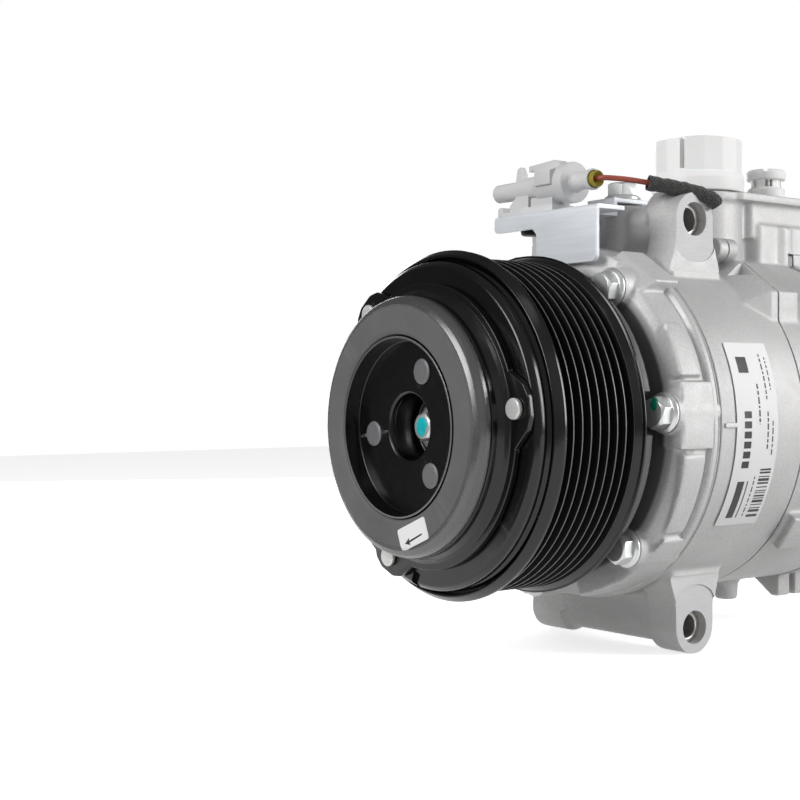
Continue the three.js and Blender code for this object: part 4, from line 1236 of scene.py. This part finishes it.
def make_connector():
    y, z = CONNECTOR
    shell = spun([
        (-36.7, 0), (-36.7, 2.7, 0.4), (-36, 3.2, 0.4), (-24.6, 3.3, 0.2), (-23.8, 4, 0.4),
        (-13.4, 4.1, 0.6), (-11.8, 5.6, 0.8), (-10.4, 6.2, 0.6), (-0.6, 6.2, 0.2), (-0.4, 6.9, 0.4),
        (3.6, 6.9, 0.5), (4, 3.8, 0.6), (5, 2.9, 0.4), (10.6, 2.9), (11.2, 3.5, 0.3), (12.8, 3.6, 0.3),
        (12.8, 0),
    ], "x", (y, z), 72)

    def fin(points, half, edge):
        """A slab across the connector, from points of (x, height above its middle)."""
        outline = [(x, z + up, *corner) for x, up, *corner in points]
        return slab("y", outline, y - half, y + half, edge)

    side_rib = [(y - 4.4, z - 1.5), (y - 7.1, z - 0.5, 0.4), (y - 7.1, z + 4.4, 0.4), (y - 4.4, z + 5)]
    foot = [(y - 5, 72.2), (y + 5, 72.2), (y + 5, 74.2), (y - 5, 74.2)]
    parts = [
        fin([
            (-17, 5.4, 0.3), (-17, 7.4, 0.4), (-4, 8.2, 0.8), (-1, 6.4, 1.2), (-1, 3), (-14, 3),
            (-14, 5.4, 0.4),
        ], 2.8, 0.25),
        fin([(-26.4, 2), (-25.2, 7.6, 1), (-23, 8.3, 1), (-21.6, 5, 1), (-21.6, 2)], 1, 0.25),
        fin([(-14.5, -7.4), (-14.5, -4), (-3.5, -4), (-3.5, -7)], 4.2, 0.3),
        fin([(-27, -9.4, 0.6), (-27, -5.4, 1), (-23, -2), (-17, -2), (-17, -9.4, 0.6)], 3.2, 0.35),
        slab("x", side_rib, -9.5, -1.5, 0.3),
        fin([
            (-34.4, -8.9, 0.6), (-34.5, -5.8, 0.9), (-33, -5, 0.8), (-31.6, -6.2, 0.6), (-31.4, -7.3, 0.4),
            (-26, -7.3), (-26, -8.9),
        ], 2.2, 0.3),
        slab("x", foot, -19, -2.5, 0.3),
    ]
    plus(shell, *parts)
    less(
        shell,
        spun([(-38, 0), (-38, 2.1), (-26, 2), (-26, 0)], "x", (y, z), 40),
        spun([(8.4, 0), (8.4, 2.4), (13, 3.1), (13, 0)], "x", (y, z), 40),
        block(-13.6, -4.6, y - 1.4, y + 1.4, z + 5.6, z + 12),
    )
    piece("connector_piece", shell, "casing", [GREY], ["connector_body"])
    seal = spun([
        (9.2, 0.95), (9.2, 2.15), (12.3, 2.7, 0.3), (14.6, 2.8, 0.3), (14.9, 2.5, 0.2), (13.6, 1.5, 0.3),
        (13, 0.95, 0.2),
    ], "x", (y, z), 48)
    piece("seal_piece", seal, "casing", [SEAL], ["connector_seal"])
    pin = rod("x", 0.9, -35, -25.8, y, z, segments=20, edge=0.3)
    piece("connector_pin", pin, "casing", [BRASS])


def make_lead():
    wire = curve_through([
        (10.6, 47, 81.2), (13.9, 47, 81.2), (17.2, 47.7, 81.2), (21.2, 53.4, 80.7), (24.5, 60.2, 79.8),
        (27.6, 65.6, 78.9),
    ], 60)
    solid = swept(wire, lambda t, a: 0.9, 20)
    piece("wire_piece", solid, "casing", [RED_WIRE], ["lead_wire"])

    def wrinkled(t, a):
        flat = 1 + 0.1 * math.cos(2 * a)
        ripple = 0.04 * math.sin(31 * t + 2 * a) + 0.03 * math.sin(53 * t - 3 * a)
        end = 1 - 0.2 * max(0, (t - 0.94) / 0.06) ** 2
        mouth = 1 + 0.08 * max(0, (0.08 - t) / 0.08)
        return 2.35 * (flat + ripple) * end * mouth

    path = curve_through([
        (24.5, 60.2, 79.7), (27.6, 65.6, 78.8), (30.6, 71, 77.7), (33.2, 75.8, 76.4), (35.4, 79.4, 74.6),
        (36.2, 81, 72.4),
    ], 110)
    solid = swept(path, wrinkled, 48, 9, 0.4)
    piece("sleeve_piece", solid, "casing", [WOVEN], ["lead_sleeve"], sharp=70)


def at_port(solid, y, degrees):
    """Turns a solid about the upright axis and moves it over a port."""
    solid.data.transform(Matrix.Translation((0, y, 0)) @ Matrix.Rotation(math.radians(degrees), 4, "Z"))
    return solid


def make_large_cap():
    y = LARGE_PORT_Y
    cap = spun([
        (89.2, 0), (89.2, 16.4, 0.3), (100.9, 16.4, 0.8), (101.4, 14.4, 0.6), (101.8, 12.4, 1.2),
        (102.3, 9.5, 1.5), (102.4, 0),
    ], "z", (0, y), 128)
    sides = [polar(15.9, 12 + k * 360 / 14) for k in range(14)]
    common(cap, slab("z", [(x, y + z, 3.2) for x, z in sides], 88, 103, corner=5))
    slot = at_port(block(9, 20, -0.9, 0.9, 90, 110, 0.2), y, 292)
    notch = at_port(block(9.5, 20, -3.6, 3.6, 101, 110, 0.2), y, 272)
    less(cap, slot, notch)
    base = spun([
        (82.3, 0), (82.3, 16.6, 0.6), (87, 16.8, 1.2), (89.3, 16, 1), (89.7, 14.5, 0.3), (89.7, 0),
    ], "z", (0, y), 128)
    plus(cap, base, rod("z", 8.6, 66, 83, 0, y, segments=64, edge=0.8))
    piece("large_cap_piece", cap, "casing", [WHITE], ["large_port_cap"])
    mark = rod("z", 2.2, 102.2, 102.55, 1.5, y - 1, segments=32, edge=0.1)
    piece("large_cap_mark", mark, "casing", [INK])


def make_small_cap():
    y = SMALL_PORT_Y
    cap = spun([(90.6, 0), (90.6, 7.2, 0.3), (93.6, 7.5, 0.7), (94.4, 6.4, 0.5), (94.4, 0)], "z", (0, y), 72)
    neck = spun([(84, 0), (84, 5.6), (91, 5.6), (91, 0)], "z", (0, y), 48)
    for angle in (-30, -47, 22, -98, 82, 150, 210):
        less(neck, at_port(block(2.8, 9, -0.55, 0.55, 87.4, 90.4), y, angle))
    foot = spun([(82.3, 0), (82.3, 6.9, 0.4), (86.8, 7.2, 0.5), (87.8, 6, 0.3), (87.8, 0)], "z", (0, y), 72)
    plus(cap, neck, foot, rod("z", 4.6, 68, 83, 0, y, segments=40, edge=0.6))
    less(cap, at_port(block(-9, 9, -0.8, 0.8, 93.4, 100), y, -52))
    piece("small_cap_piece", cap, "casing", [WHITE], ["small_port_cap"])


def make_valves():
    control = spun([
        (167, 0), (167, 9, 0.4), (183.2, 9, 0.4), (184.4, 8, 0.6), (184.6, 6.2, 0.4), (187.4, 6, 0.7),
        (188, 5, 0.4), (188, 0),
    ], "y", CONTROL_VALVE, 72)
    less(control, rod("y", 2.2, 185.5, 190, *CONTROL_VALVE, segments=32))
    for offset in (-2.4, 2.4):
        less(control, block(offset - 0.5, offset + 0.5, 186.4, 190, -27.4, -20.6))
    piece("control_valve_piece", control, "casing", [ZINC], ["control_valve"])
    head = hex_head("x", 6, 66, 60.4, *RELIEF_VALVE, 0.2)
    stem = spun([
        (50.5, 0), (50.5, 4, 0.4), (60, 4), (60, 5.8, 0.3), (60.9, 5.8, 0.3), (60.9, 0),
    ], "x", RELIEF_VALVE, 48)
    plus(head, stem)
    piece("relief_valve_piece", head, "casing", [BRASS], ["relief_valve"])


for make in (
    make_pulley, make_bearing, make_hub_plate, make_armature, make_damper, make_cup, make_rivets,
    make_hub_bolt, make_sticker, make_coil, make_front_housing, make_main_housing, make_bushes,
    make_cylinder_block, make_valve_plate, make_rear_housing, make_through_bolts, make_label,
    make_bracket, make_connector, make_lead, make_large_cap, make_small_cap, make_valves,
):
    make()
